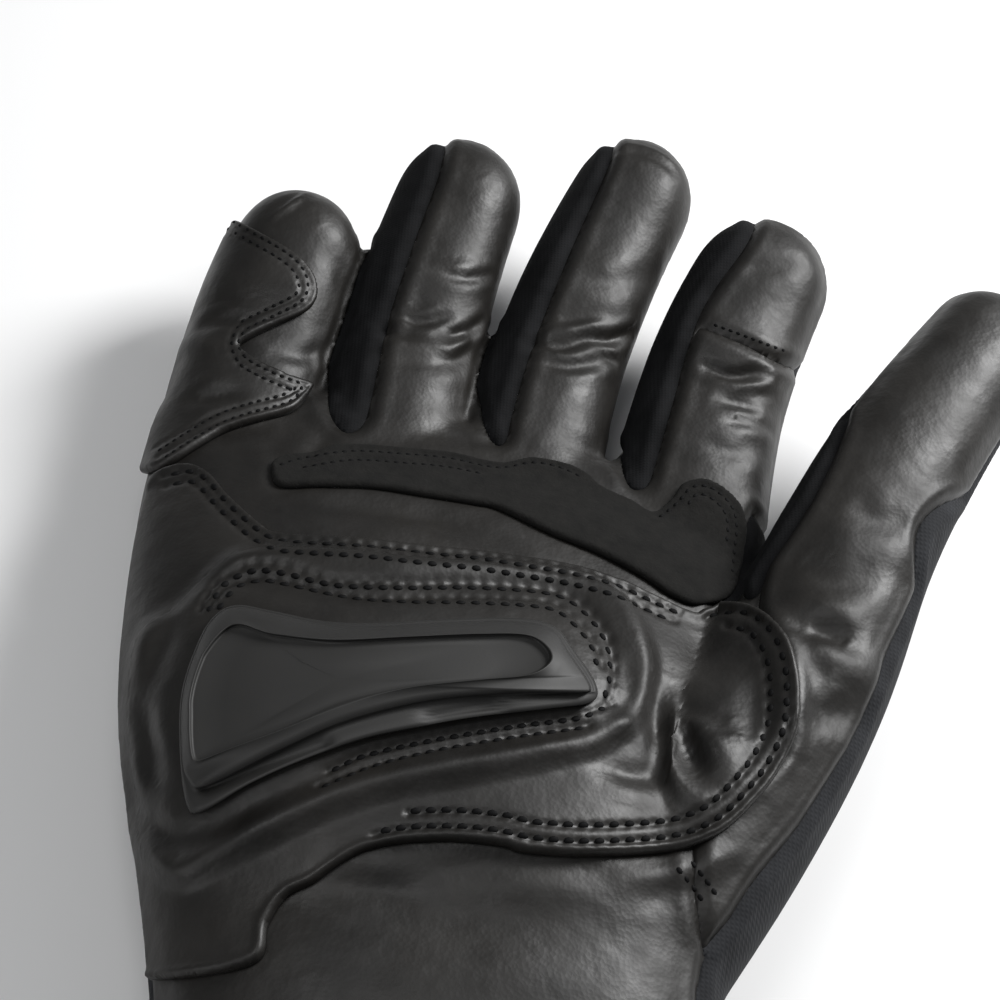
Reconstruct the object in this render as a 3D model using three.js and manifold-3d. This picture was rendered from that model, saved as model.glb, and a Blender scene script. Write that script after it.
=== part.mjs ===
// A right-hand motorcycle glove lying on its back, palm up, with the fingers along +Y and the thumb at +X.
// Millimetres, +Z up. The origin is on the surface that it rests on, under the middle of the palm.
import * as THREE from 'three';
import { mergeVertices } from 'three/addons/utils/BufferGeometryUtils.js';
import Module from 'manifold-3d';

const wasm = await Module();
wasm.setup();

// The hand
const palmWidth = 112; // across the knuckles
const palmLength = 100; // from the heel to the finger crotches
const palmThickness = 44; // at the thickest of the heel
const knuckleReach = 57; // from the origin to the finger crotches
const wristReach = 88; // from the origin to the cuff seam
const wristWidth = 88;
const wristThickness = 40;
const cuffLength = 58;
const cuffWidth = 112; // at the open end
const cuffThickness = 50;
const midHeight = 20; // of the widest line of the hand above the floor

// The leather and the pieces on it
const wall = 2.4; // outer leather with its padding and lining
const layerThickness = 1.5; // each second layer that is sewn on
const suedeThickness = 1.1;
const padThickness = 3.2; // of the padding round the slider, above the palm leather
const sliderThickness = 4.2;
const sliderFaceDepth = 1.1; // how far its face lies below its rim
const sliderSkirtDepth = 2.4; // how far its skirt lies below its rim
const bindingWidth = 9;
const bindingThickness = 1.4;
const seamGap = 0.3; // between two pieces that are sewn edge to edge
const seatGap = 0.3; // under a layer that is sewn on

const limbSquareness = 2.3; // of the fingers' and the thumb's sections, where 2 is an ellipse
const handSquareness = 2.5;

// Fingers: x and y are where each leaves the hand, as shares of palmWidth and palmLength;
// length is the free length, and lean and rise are degrees, at the root and at the tip
const fingers = [
  {
    name: 'little', length: 51, width: 26.5, depth: 24, x: -0.377, y: 0.56,
    lean: 4, leanTip: 19, rise: 6, riseTip: 20,
  },
  {
    name: 'ring', length: 67, width: 27.5, depth: 24.5, x: -0.13, y: 0.57,
    lean: 4, leanTip: 18, rise: 5, riseTip: 18,
  },
  {
    name: 'middle', length: 74, width: 26.5, depth: 25, x: 0.107, y: 0.57,
    lean: 8, leanTip: 27, rise: 5, riseTip: 17,
  },
  {
    name: 'index', length: 64, width: 29.5, depth: 26, x: 0.374, y: 0.5,
    lean: 5, leanTip: 29, rise: 6, riseTip: 17,
  },
];
const fingerRootHeight = 16; // of the finger's middle line where it leaves the hand
const fingerRootDepth = 20; // how far each finger's form runs on into the hand
// Width and depth above and below the middle line along the free finger, as shares of its own;
// the low rows are the creases of its joints
const fingerSections = [
  { along: 0, wide: 1.0, above: 0.99, below: 1.0 },
  { along: 0.17, wide: 0.99, above: 1.02, below: 0.99 },
  { along: 0.31, wide: 0.97, above: 0.91, below: 0.97 },
  { along: 0.46, wide: 0.96, above: 1.0, below: 0.96 },
  { along: 0.62, wide: 0.94, above: 0.92, below: 0.94 },
  { along: 1, wide: 0.87, above: 0.9, below: 0.86 },
];

// Side strips along a free finger: the edges' places round its section, in degrees above its side
const stripRows = [
  { along: -0.2, leftTop: 40, leftBottom: -22, rightTop: 20, rightBottom: -30 },
  { along: 0, leftTop: 54, leftBottom: -20, rightTop: 16, rightBottom: -34 },
  { along: 0.14, leftTop: 64, leftBottom: -14, rightTop: 4, rightBottom: -46 },
  { along: 0.5, leftTop: 67, leftBottom: -10, rightTop: 4, rightBottom: -46 },
  { along: 0.8, leftTop: 64, leftBottom: 10, rightTop: 2, rightBottom: -30 },
  { along: 0.93, leftTop: 54, leftBottom: 48, rightTop: -8, rightBottom: -14 },
];
const outerSeamTurn = -4; // the same for the outer seams of the little and the index finger
const stripEnd = 0.92; // where the strips end, as a share of the free length
const crotchHeight = 11; // of the strips where they meet between two fingers
const touchTipStart = 0.46; // where the index fingertip's own panel starts, the same

// Thumb sections: x and width are shares of palmWidth, y of palmLength, z and depth of palmThickness.
// The heights of its seams are shares of palmThickness too: leftTop and leftBottom bound the gusset.
const thumbSections = [
  { x: 0.2, y: -0.56, z: 0.47, wide: 0.36, deep: 0.8, leftTop: 0.66, leftBottom: 0.36, right: 0.778 },
  { x: 0.385, y: -0.22, z: 0.5, wide: 0.34, deep: 0.86, leftTop: 0.66, leftBottom: 0.36, right: 0.778 },
  { x: 0.52, y: 0.05, z: 0.56, wide: 0.3, deep: 0.78, leftTop: 0.66, leftBottom: 0.36, right: 0.778 },
  { x: 0.62, y: 0.33, z: 0.66, wide: 0.262, deep: 0.64, leftTop: 0.84, leftBottom: 0.52, right: 0.778 },
  { x: 0.71, y: 0.54, z: 0.72, wide: 0.245, deep: 0.58, leftTop: 0.85, leftBottom: 0.76, right: 0.774 },
  { x: 0.85, y: 0.8, z: 0.78, wide: 0.205, deep: 0.5, leftTop: 0.84, leftBottom: 0.833, right: 0.766 },
];
const gussetEnd = 0.92; // where the gusset ends, as a share of the thumb's sections

// Hand sections: reach is a share of wristReach where it is negative and of knuckleReach where positive;
// left and right are shares of palmWidth, top of palmThickness, and skew slants the row
const handSections = [
  { reach: -0.8, left: -0.395, right: 0.4, top: 0.94, skew: 0 },
  { reach: -0.5, left: -0.44, right: 0.42, top: 1.0, skew: 0 },
  { reach: -0.2, left: -0.495, right: 0.44, top: 1.0, skew: 0 },
  { reach: 0.1, left: -0.515, right: 0.455, top: 0.92, skew: -0.04 },
  { reach: 0.5, left: -0.52, right: 0.468, top: 0.77, skew: -0.1 },
  { reach: 0.76, left: -0.508, right: 0.455, top: 0.625, skew: -0.13 },
];

// The side seam of the hand: reach as above; left is its height as a share of midHeight and right of
// palmThickness; far is how far to the right it goes, a share of palmWidth
const sideSeamRows = [
  { reach: -1.02, left: 1.1, right: 0.56, far: 0.7 },
  { reach: -0.8, left: 1.1, right: 0.7, far: 0.7 },
  { reach: -0.55, left: 1.1, right: 0.778, far: 0.7 },
  { reach: -0.25, left: 1.1, right: 0.778, far: 0.7 },
  { reach: -0.2, left: 1.1, right: 0.778, far: 0.41 },
  { reach: 0.2, left: 0.95, right: 0.5, far: 0.41 },
  { reach: 0.34, left: 0.85, right: 0.42, far: 0.53 },
  { reach: 0.8, left: 0.7, right: 0.333, far: 0.53 },
];

// Broad hollows and folds of the palm: x is a share of palmWidth, y of palmLength, and long and wide of
// palmWidth; turn is in degrees from +X, and rise is a share of palmThickness
const folds = [
  { x: 0.3, y: -0.1, long: 0.2, wide: 0.07, turn: 80, rise: -0.06 },
  { x: 0.37, y: -0.2, long: 0.12, wide: 0.04, turn: 75, rise: 0.04 },
  { x: 0.2, y: 0.12, long: 0.25, wide: 0.09, turn: 5, rise: -0.05 },
  { x: 0.43, y: 0.14, long: 0.1, wide: 0.07, turn: 60, rise: -0.07 },
  { x: -0.05, y: -0.55, long: 0.35, wide: 0.06, turn: 0, rise: -0.05 },
  { x: 0, y: -1.02, long: 0.5, wide: 0.08, turn: 3, rise: -0.06 },
  { x: 0.05, y: -1.2, long: 0.5, wide: 0.06, turn: -4, rise: 0.03 },
];

// The seam between the palm and the ball of the thumb, under the palm overlay's edge;
// x is a share of palmWidth, y of palmLength, and low, where the cut starts, of palmThickness
const thumbBallSeam = [
  { x: 0.51, y: 0.46, low: 0.55 },
  { x: 0.475, y: 0.3, low: 0.55 },
  { x: 0.445, y: 0.12, low: 0.55 },
  { x: 0.475, y: -0.03, low: 0.6 },
  { x: 0.465, y: -0.19, low: 0.7 },
  { x: 0.35, y: -0.33, low: 0.74 },
  { x: 0.345, y: -0.46, low: 0.74 },
  { x: 0.4, y: -0.62, low: 0.73 },
  { x: 0.5, y: -0.74, low: 0.7 },
];

// Outlines seen from above: x is a share of palmWidth and y of palmLength, and sharp marks a corner
const overlayOutline = [
  { x: -0.56, y: 0.31 },
  { x: -0.505, y: 0.318 },
  { x: -0.434, y: 0.345 },
  { x: -0.39, y: 0.26 },
  { x: -0.355, y: 0.17 },
  { x: -0.3, y: 0.135 },
  { x: -0.083, y: 0.153 },
  { x: 0.103, y: 0.168 },
  { x: 0.263, y: 0.15 },
  { x: 0.344, y: 0.115 },
  { x: 0.42, y: 0.13 },
  { x: 0.455, y: 0.1 },
  { x: 0.487, y: -0.02 },
  { x: 0.494, y: -0.11 },
  { x: 0.482, y: -0.2 },
  { x: 0.42, y: -0.285 },
  { x: 0.331, y: -0.362 },
  { x: 0.14, y: -0.435 },
  { x: -0.015, y: -0.46 },
  { x: -0.11, y: -0.462 },
  { x: -0.178, y: -0.505 },
  { x: -0.229, y: -0.551 },
  { x: -0.26, y: -0.62, sharp: true },
  { x: -0.6, y: -0.62, sharp: true },
  { x: -0.62, y: 0.31, sharp: true },
];
const padOutline = [
  { x: -0.42, y: -0.43 },
  { x: -0.455, y: -0.28 },
  { x: -0.458, y: -0.154 },
  { x: -0.435, y: -0.043 },
  { x: -0.385, y: 0.03 },
  { x: -0.214, y: 0.037 },
  { x: -0.05, y: 0.052 },
  { x: 0.134, y: 0.085 },
  { x: 0.204, y: 0.068 },
  { x: 0.238, y: -0.015 },
  { x: 0.228, y: -0.107 },
  { x: 0.179, y: -0.188 },
  { x: 0.004, y: -0.267 },
  { x: -0.188, y: -0.371 },
  { x: -0.319, y: -0.454 },
];
const sliderOutline = [
  { x: -0.385, y: -0.394, sharp: true },
  { x: -0.402, y: -0.301 },
  { x: -0.408, y: -0.192 },
  { x: -0.397, y: -0.064 },
  { x: -0.352, y: -0.005 },
  { x: -0.211, y: -0.032 },
  { x: -0.048, y: -0.014 },
  { x: 0.102, y: 0.012 },
  { x: 0.165, y: -0.047 },
  { x: 0.178, y: -0.122 },
  { x: 0.133, y: -0.14 },
  { x: 0.035, y: -0.19 },
  { x: -0.055, y: -0.215 },
  { x: -0.19, y: -0.285 },
  { x: -0.3, y: -0.35 },
];
// The slider's rim with its recessed face inside; the skirt is what the outline has outside the rim
const rimOutline = [
  { x: -0.4, y: -0.33, sharp: true },
  { x: -0.42, y: -0.2 },
  { x: -0.415, y: -0.05 },
  { x: -0.35, y: 0.02 },
  { x: -0.21, y: -0.01 },
  { x: -0.048, y: 0.01 },
  { x: 0.11, y: 0.03 },
  { x: 0.19, y: -0.05 },
  { x: 0.2, y: -0.13 },
  { x: 0.133, y: -0.155 },
  { x: -0.045, y: -0.172 },
  { x: -0.187, y: -0.233 },
  { x: -0.29, y: -0.29 },
];
const faceOutline = [
  { x: -0.382, y: -0.29, sharp: true },
  { x: -0.392, y: -0.2 },
  { x: -0.388, y: -0.1 },
  { x: -0.345, y: -0.045 },
  { x: -0.2, y: -0.07 },
  { x: -0.048, y: -0.045 },
  { x: 0.085, y: -0.018 },
  { x: 0.14, y: -0.06 },
  { x: 0.13, y: -0.105 },
  { x: -0.058, y: -0.137 },
  { x: -0.195, y: -0.195 },
  { x: -0.3, y: -0.25 },
];
const skirtSlots = [
  { x: -0.275, y: -0.308, long: 0.17, wide: 0.014, turn: 25 },
  { x: -0.03, y: -0.19, long: 0.08, wide: 0.013, turn: 20 },
];
const gripOutline = [
  { x: -0.326, y: 0.345 },
  { x: -0.311, y: 0.38 },
  { x: -0.202, y: 0.444 },
  { x: -0.122, y: 0.461 },
  { x: -0.04, y: 0.451 },
  { x: 0.041, y: 0.463 },
  { x: 0.107, y: 0.472 },
  { x: 0.19, y: 0.45 },
  { x: 0.289, y: 0.385 },
  { x: 0.31, y: 0.36 },
  { x: 0.33, y: 0.41 },
  { x: 0.36, y: 0.437 },
  { x: 0.4, y: 0.44 },
  { x: 0.44, y: 0.39 },
  { x: 0.452, y: 0.3 },
  { x: 0.436, y: 0.21 },
  { x: 0.415, y: 0.155 },
  { x: 0.348, y: 0.142 },
  { x: 0.278, y: 0.172 },
  { x: 0.199, y: 0.205 },
  { x: 0.073, y: 0.246 },
  { x: -0.054, y: 0.3 },
  { x: -0.166, y: 0.317 },
  { x: -0.305, y: 0.3 },
];
const guardOutline = [
  { x: -0.49, y: 0.97, sharp: true },
  { x: -0.43, y: 0.935 },
  { x: -0.385, y: 0.869 },
  { x: -0.331, y: 0.821 },
  { x: -0.292, y: 0.775 },
  { x: -0.304, y: 0.72, sharp: true },
  { x: -0.39, y: 0.63, sharp: true },
  { x: -0.3, y: 0.59 },
  { x: -0.298, y: 0.545 },
  { x: -0.364, y: 0.461 },
  { x: -0.439, y: 0.417 },
  { x: -0.5, y: 0.385 },
  { x: -0.6, y: 0.375, sharp: true },
  { x: -0.65, y: 0.97, sharp: true },
];

const radians = THREE.MathUtils.degToRad;
const mix = THREE.MathUtils.lerp;

// The value of one named column at a key, on a smooth curve through the rows
function along(rows, key, at, column) {
  let i = 0;
  while (i < rows.length - 2 && at > rows[i + 1][key]) i += 1;
  const [a, b] = [rows[i], rows[i + 1]];
  const [before, after] = [rows[Math.max(i - 1, 0)], rows[Math.min(i + 2, rows.length - 1)]];
  const span = b[key] - a[key];
  const t = THREE.MathUtils.clamp((at - a[key]) / span, 0, 1);
  const slope = (from, to) => ((to[column] - from[column]) / (to[key] - from[key])) * span;
  const rise = 3 * t ** 2 - 2 * t ** 3;
  return (1 - rise) * a[column] + rise * b[column]
    + (t ** 3 - 2 * t ** 2 + t) * slope(before, b) + (t ** 3 - t ** 2) * slope(a, after);
}

// A manifold solid from points and triangle indices, turned to face outwards
function solidOf(points, index) {
  const geometry = new THREE.BufferGeometry().setFromPoints(points);
  geometry.setIndex(index);
  return solidFrom(geometry);
}

function solidFrom(geometry) {
  const bare = geometry.clone();
  bare.deleteAttribute('normal');
  bare.deleteAttribute('uv');
  const merged = mergeVertices(bare, 1e-4);
  const faces = merged.index.array;
  const tidy = [];
  for (let i = 0; i < faces.length; i += 3) {
    const [a, b, c] = faces.slice(i, i + 3);
    if (a !== b && b !== c && c !== a) tidy.push(a, b, c);
  }
  const make = (order) => new wasm.Manifold(new wasm.Mesh({
    numProp: 3,
    vertProperties: merged.attributes.position.array,
    triVerts: new Uint32Array(order),
  }));
  const made = make(tidy);
  return made.volume() > 0 ? made : make(tidy.reverse());
}

// A closed solid through rings of points, with a fan at each end
function solidThrough(rings) {
  const sides = rings[0].length;
  const middle = (points) => points.reduce((sum, p) => sum.add(p), new THREE.Vector3()).divideScalar(sides);
  const index = [];
  for (let i = 0; i < rings.length - 1; i += 1) {
    for (let j = 0; j < sides; j += 1) {
      const k = (j + 1) % sides;
      const [a, b, c, d] = [i * sides + j, i * sides + k, (i + 1) * sides + k, (i + 1) * sides + j];
      index.push(a, c, b, a, d, c);
    }
  }
  const points = rings.flat();
  const end = (rings.length - 1) * sides;
  for (let j = 0; j < sides; j += 1) {
    const k = (j + 1) % sides;
    index.push(points.length, j, k, points.length + 1, end + k, end + j);
  }
  return solidOf([...points, middle(rings[0]), middle(rings.at(-1))], index);
}

// How far the broad folds lift the upper side at a place
function foldLift(p) {
  return folds.reduce((sum, fold) => {
    const from = new THREE.Vector2(p.x - fold.x * palmWidth, p.y - fold.y * palmLength)
      .rotateAround(new THREE.Vector2(), -radians(fold.turn));
    const far = (from.x / (fold.long * palmWidth)) ** 2 + (from.y / (fold.wide * palmWidth)) ** 2;
    return sum + fold.rise * palmThickness * Math.exp(-far);
  }, 0);
}

// A superellipse ring about a centre: halfWidth along side, above and below along up, none of it under
// the floor
function ring({ centre, side, up, halfWidth, above, below, squareness = limbSquareness }, sides, floor) {
  return Array.from({ length: sides }, (_, j) => {
    const angle = (2 * Math.PI * j) / sides;
    const [c, s] = [Math.cos(angle), Math.sin(angle)];
    const across = Math.sign(c) * Math.abs(c) ** (2 / squareness) * halfWidth;
    const high = Math.sign(s) * Math.abs(s) ** (2 / squareness) * (s > 0 ? above : below);
    const p = centre.clone().addScaledVector(side, across).addScaledVector(up, high);
    if (high > 0) p.z += foldLift(p) * s;
    p.z = Math.max(p.z, floor);
    return p;
  });
}

// The direction of a finger's middle line at a station, measured from where it leaves the hand
function fingerAhead(finger, station) {
  const share = THREE.MathUtils.clamp(station / finger.length, 0, 1);
  const lean = radians(mix(finger.lean, finger.leanTip, share));
  const rise = radians(mix(finger.rise, finger.riseTip, share));
  return {
    ahead: new THREE.Vector3(Math.sin(lean) * Math.cos(rise), Math.cos(lean) * Math.cos(rise), Math.sin(rise)),
    side: new THREE.Vector3(Math.cos(lean), -Math.sin(lean), 0),
    share,
  };
}

// The place and the axes of a finger's section at a station
function fingerFrame(finger, station) {
  const centre = new THREE.Vector3(finger.x * palmWidth, finger.y * palmLength, fingerRootHeight);
  const steps = 20;
  for (let i = 0; i < steps; i += 1) {
    centre.addScaledVector(fingerAhead(finger, (station * (i + 0.5)) / steps).ahead, station / steps);
  }
  const { ahead, side, share } = fingerAhead(finger, station);
  return { centre, side, up: new THREE.Vector3().crossVectors(side, ahead), share, station };
}

const fingerFrames = (finger, stations) => stations.map((station) => fingerFrame(finger, station));

// How much of the full section is left near a round end
function endRound(before, radius) {
  if (before >= radius) return 1;
  return Math.sqrt(Math.max(1 - (1 - before / radius) ** 2, 0));
}

const tipSteps = 3;
const lastTurn = 0.985; // of the quarter turn that closes a tip, so that the end keeps a small facet

const tipRadius = (finger) => finger.width * 0.47;

// Where a finger's sections lie, measured from where it leaves the hand
function fingerStations(finger, grow) {
  const roundStart = finger.length + grow - tipRadius(finger);
  const rounded = Array.from({ length: tipSteps }, (_, i) => (
    roundStart + tipRadius(finger) * Math.sin(((i + 1) / tipSteps) * Math.PI * 0.5 * lastTurn)));
  const free = fingerSections.map((row) => row.along * finger.length).filter((at) => at < roundStart - 2);
  return [-fingerRootDepth, ...free, roundStart, ...rounded];
}

function fingerSolid(finger, grow, sides) {
  const length = finger.length + grow;
  const radius = tipRadius(finger);
  return solidThrough(fingerFrames(finger, fingerStations(finger, grow)).map((frame) => {
    const left = endRound(length - frame.station, radius);
    const share = (column) => along(fingerSections, 'along', frame.share, column);
    return ring({
      ...frame,
      halfWidth: ((finger.width / 2) * share('wide') + grow) * left,
      above: ((finger.depth / 2) * share('above') + grow) * left,
      below: ((finger.depth / 2) * share('below') + grow) * left,
    }, sides, Math.max(0, -grow));
  }));
}

const thumbRows = thumbSections.map((row, i) => ({ ...row, at: i / (thumbSections.length - 1) }));
const thumbValue = (t, column) => along(thumbRows, 'at', t, column);
const thumbPlace = (t) => new THREE.Vector3(
  thumbValue(t, 'x') * palmWidth, thumbValue(t, 'y') * palmLength, thumbValue(t, 'z') * palmThickness);
const thumbTipRadius = thumbSections.at(-1).wide * palmWidth * 0.5;

function thumbFrame(t) {
  const ahead = thumbPlace(Math.min(t + 0.02, 1)).sub(thumbPlace(Math.max(t - 0.02, 0))).normalize();
  const side = new THREE.Vector3(ahead.y, -ahead.x, 0).normalize();
  return { centre: thumbPlace(t), side, up: new THREE.Vector3().crossVectors(side, ahead), ahead };
}

const thumbSteps = 7;

function thumbSolid(grow, sides) {
  const ringAt = (frame, t, left) => {
    const half = thumbValue(t, 'deep') * palmThickness * 0.5 + grow;
    return ring({
      ...frame,
      halfWidth: (thumbValue(t, 'wide') * palmWidth * 0.5 + grow) * left,
      above: half * left,
      below: half * left,
    }, sides, Math.max(0, -grow));
  };
  const rings = [];
  for (let i = 0; i <= thumbSteps; i += 1) rings.push(ringAt(thumbFrame(i / thumbSteps), i / thumbSteps, 1));
  for (let i = 1; i <= tipSteps; i += 1) {
    const turn = (i / tipSteps) * Math.PI * 0.5 * lastTurn;
    const frame = thumbFrame(1);
    frame.centre.addScaledVector(frame.ahead, (thumbTipRadius + grow) * Math.sin(turn));
    rings.push(ringAt(frame, 1, Math.cos(turn)));
  }
  return solidThrough(rings);
}

const reachPlace = (reach) => reach * (reach < 0 ? wristReach : knuckleReach);
const cuffEnd = -wristReach - cuffLength;
const bindingRoom = bindingThickness + seatGap; // under the cuff's end
const cuffRow = (y, width, top, floor) => ({ y, left: -width / 2, right: width / 2, top, skew: 0, floor });
const handRows = [
  cuffRow(cuffEnd, cuffWidth, cuffThickness, bindingRoom),
  cuffRow(cuffEnd + bindingWidth * 1.3, cuffWidth * 0.975, cuffThickness, bindingRoom),
  cuffRow(-wristReach - cuffLength * 0.5, cuffWidth * 0.9, cuffThickness * 0.92, 0),
  cuffRow(-wristReach, wristWidth, wristThickness, 0),
  ...handSections.map((row) => ({
    y: reachPlace(row.reach),
    left: row.left * palmWidth,
    right: row.right * palmWidth,
    top: row.top * palmThickness,
    skew: row.skew,
    floor: 0,
  })),
];
const handBelow = midHeight + 3; // the back is this deep before the floor flattens it
const handSteps = 12;
const handEndSteps = 3;

// The hand and the cuff in one, from the open end to the finger crotches
function handSolid(grow, sides, openBy) {
  const endRow = handRows.at(-1);
  const ringAt = (y, row, left) => {
    const centre = (row.left + row.right) / 2;
    const points = ring({
      centre: new THREE.Vector3(centre, y, midHeight),
      side: new THREE.Vector3(1, 0, 0),
      up: new THREE.Vector3(0, 0, 1),
      halfWidth: ((row.right - row.left) / 2 + grow) * mix(0.55, 1, left),
      above: (row.top - midHeight + grow) * left,
      below: (handBelow + grow) * left,
      squareness: handSquareness,
    }, sides, Math.max(0, row.floor - grow));
    points.forEach((p) => { p.y += row.skew * (p.x - centre); });
    return points;
  };
  const rings = openBy ? [ringAt(cuffEnd - openBy, handRows[0], 1)] : [];
  for (let i = 0; i <= handSteps; i += 1) {
    const y = mix(cuffEnd, endRow.y, i / handSteps);
    const columns = ['left', 'right', 'top', 'skew', 'floor'];
    rings.push(ringAt(y, Object.fromEntries(columns.map((name) => [name, along(handRows, 'y', y, name)])), 1));
  }
  for (let i = 1; i <= handEndSteps; i += 1) {
    const turn = (i / handEndSteps) * Math.PI * 0.5 * 0.94;
    rings.push(ringAt(endRow.y + (knuckleReach - endRow.y + grow) * Math.sin(turn), endRow, Math.cos(turn)));
  }
  return solidThrough(rings);
}

function gloveForm(grow, sides, openBy = 0) {
  const limbs = fingers.map((finger) => fingerSolid(finger, grow, sides.finger));
  limbs.push(thumbSolid(grow, sides.finger));
  return limbs.reduce((a, b) => a.add(b), handSolid(grow, sides.hand, openBy));
}

const tipReach = 1.12; // how far a finger's seam cutters run on, past its tip
const seamReach = 1.6; // how far they stand out from its surface
const stripBulge = 9; // the same over the middle of a wide strip

// A point round a finger's section, at a turn above its side; side is 1 to the right and -1 to the left
function roundFinger(finger, frame, side, turn, out) {
  const share = (column) => along(fingerSections, 'along', frame.share, column);
  const halfWidth = (finger.width / 2) * share('wide') + out;
  const half = (finger.depth / 2) * share(turn > 0 ? 'above' : 'below') + out;
  const angle = radians(turn);
  return frame.centre.clone()
    .addScaledVector(frame.side, side * Math.cos(angle) * halfWidth)
    .addScaledVector(frame.up, Math.sin(angle) * half);
}

// The turns of a finger's four seam lines at a share of its length, drawn in by inset millimetres
function seamTurns(finger, share, inset) {
  const turn = (column) => along(stripRows, 'along', Math.min(share, stripRows.at(-1).along), column);
  const drawn = THREE.MathUtils.radToDeg(inset / (finger.width / 2));
  const thin = THREE.MathUtils.radToDeg(seamGap / finger.width);
  const pair = (plain, top, bottom) => (plain
    ? [outerSeamTurn + thin, outerSeamTurn - thin]
    : [top - drawn, bottom + drawn]);
  return {
    left: pair(finger.name === 'little', turn('leftTop'), turn('leftBottom')),
    right: pair(finger.name === 'index', turn('rightTop'), turn('rightBottom')),
  };
}

// The solid between a finger's upper and lower seam lines; inset draws it in, and last is the share that
// it ends at
function seamBand(finger, inset, first, last) {
  const end = last * finger.length;
  const stations = [first, ...fingerStations(finger, 0).filter((at) => at > first && at < end), end];
  const wideTurn = 20; // degrees
  const out = ([top, bottom]) => (top - bottom > wideTurn ? stripBulge : seamReach);
  return solidThrough(fingerFrames(finger, stations).map((frame) => {
    const { left, right } = seamTurns(finger, frame.station / finger.length, inset);
    return [
      roundFinger(finger, frame, -1, left[0], seamReach),
      roundFinger(finger, frame, -1, (left[0] + left[1]) / 2, out(left)),
      roundFinger(finger, frame, -1, left[1], seamReach),
      roundFinger(finger, frame, 1, right[1], seamReach),
      roundFinger(finger, frame, 1, (right[0] + right[1]) / 2, out(right)),
      roundFinger(finger, frame, 1, right[0], seamReach),
    ];
  }));
}

// The seam of the thumb: the gusset's edges on its left and one thin line on its right and round its tip
function thumbBand(inset, first, last) {
  const overhang = 2; // past its sides
  const within = Array.from({ length: thumbSteps + 1 }, (_, i) => i / thumbSteps)
    .filter((t) => t > first && t < last);
  return solidThrough([first, ...within, last].map((t) => {
    const frame = thumbFrame(Math.min(t, 1));
    if (t > 1) frame.centre.addScaledVector(frame.ahead, (t - 1) * palmLength);
    const half = thumbValue(Math.min(t, 1), 'wide') * palmWidth * 0.5 + overhang;
    const height = (column) => thumbValue(Math.min(t, 1), column) * palmThickness;
    const at = (across, z) => {
      const p = frame.centre.clone().addScaledVector(frame.side, across);
      return new THREE.Vector3(p.x, p.y, z);
    };
    const thin = seamGap / 2;
    return [
      at(-half, Math.max(height('leftTop') - inset, height('leftBottom') + inset + 0.02)),
      at(-half, height('leftBottom') + inset),
      at(half * 0.2, height('right') - thin),
      at(half, height('right') - thin),
      at(half, height('right') + thin),
      at(half * 0.2, height('right') + thin),
    ];
  }));
}

const sideSeamAt = (reach, column) => along(sideSeamRows, 'reach', reach, column);
const sideSeamPlace = (reach, side) => (side < 0
  ? sideSeamAt(reach, 'left') * midHeight
  : sideSeamAt(reach, 'right') * palmThickness);

// The thin cut along both sides of the hand
function sideSeam() {
  const thin = seamGap / 2;
  const [farLeft, inner] = [-palmWidth * 0.7, palmWidth * 0.2];
  return solidThrough(sideSeamRows.map(({ reach }) => {
    const y = reachPlace(reach);
    const [left, right] = [sideSeamPlace(reach, -1), sideSeamPlace(reach, 1)];
    const far = sideSeamAt(reach, 'far') * palmWidth;
    const line = [[farLeft, left], [-inner, left], [inner, right], [far, right]];
    return [
      ...line.map(([x, z]) => new THREE.Vector3(x, y, z - thin)),
      ...line.reverse().map(([x, z]) => new THREE.Vector3(x, y, z + thin)),
    ];
  }));
}

// A box between two corners
function boxSolid(low, high) {
  const size = new THREE.Vector3().subVectors(high, low);
  const middle = new THREE.Vector3().addVectors(low, high).multiplyScalar(0.5);
  return solidFrom(new THREE.BoxGeometry(size.x, size.y, size.z).translate(middle.x, middle.y, middle.z));
}

// The block that joins two fingers' strips at the crotch between them
function crotchBlock(a, b, inset) {
  const y = ((a.y + b.y) / 2) * palmLength;
  const [back, front] = [10, 6]; // how far it goes either way of the crotch
  return boxSolid(
    new THREE.Vector3(a.x * palmWidth + inset, y - back, fingerRootHeight - crotchHeight / 2 + inset),
    new THREE.Vector3(b.x * palmWidth - inset, y + front, fingerRootHeight + crotchHeight / 2 - inset));
}

// The block that joins the thumb's gusset to the side of the hand
function thumbCrotchBlock(inset) {
  return boxSolid(
    new THREE.Vector3(palmWidth * 0.39 + inset, palmLength * 0.12 + inset, palmThickness * 0.36 + inset),
    new THREE.Vector3(palmWidth * 0.56 - inset, palmLength * 0.34 - inset, palmThickness * 0.7 - inset));
}

// Small upright plates that carry the side seam over into the outer seams of the little and the index finger
function seamSteps() {
  const reach = sideSeamRows.at(-1).reach;
  const y = reachPlace(reach);
  const step = 1.5;
  const plate = (x0, x1, z) => boxSolid(
    new THREE.Vector3(x0, y - 2 * seamGap, z - step), new THREE.Vector3(x1, y - seamGap, z + step));
  const left = plate(-palmWidth * 0.7, -palmWidth * 0.4, sideSeamPlace(reach, -1));
  return left.add(plate(palmWidth * 0.4, palmWidth * 0.5, sideSeamPlace(reach, 1)));
}

// The cut across the index finger where its fingertip panel starts
function touchTipSeam(finger) {
  const start = finger.length * touchTipStart;
  return solidThrough(fingerFrames(finger, [start - seamGap / 2, start + seamGap / 2]).map((frame) => {
    const { left, right } = seamTurns(finger, touchTipStart, 0);
    const [a, b] = [[-1, left[0]], [1, right[0]]].map(([side, turn]) => (
      roundFinger(finger, frame, side, turn, seamReach).addScaledVector(frame.up, -seamGap / 2)));
    const lift = frame.up.clone().multiplyScalar(finger.depth);
    return [a, b, b.clone().add(lift), a.clone().add(lift)];
  }));
}

const seenFromAbove = (row) => new THREE.Vector2(row.x * palmWidth, row.y * palmLength);

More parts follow.
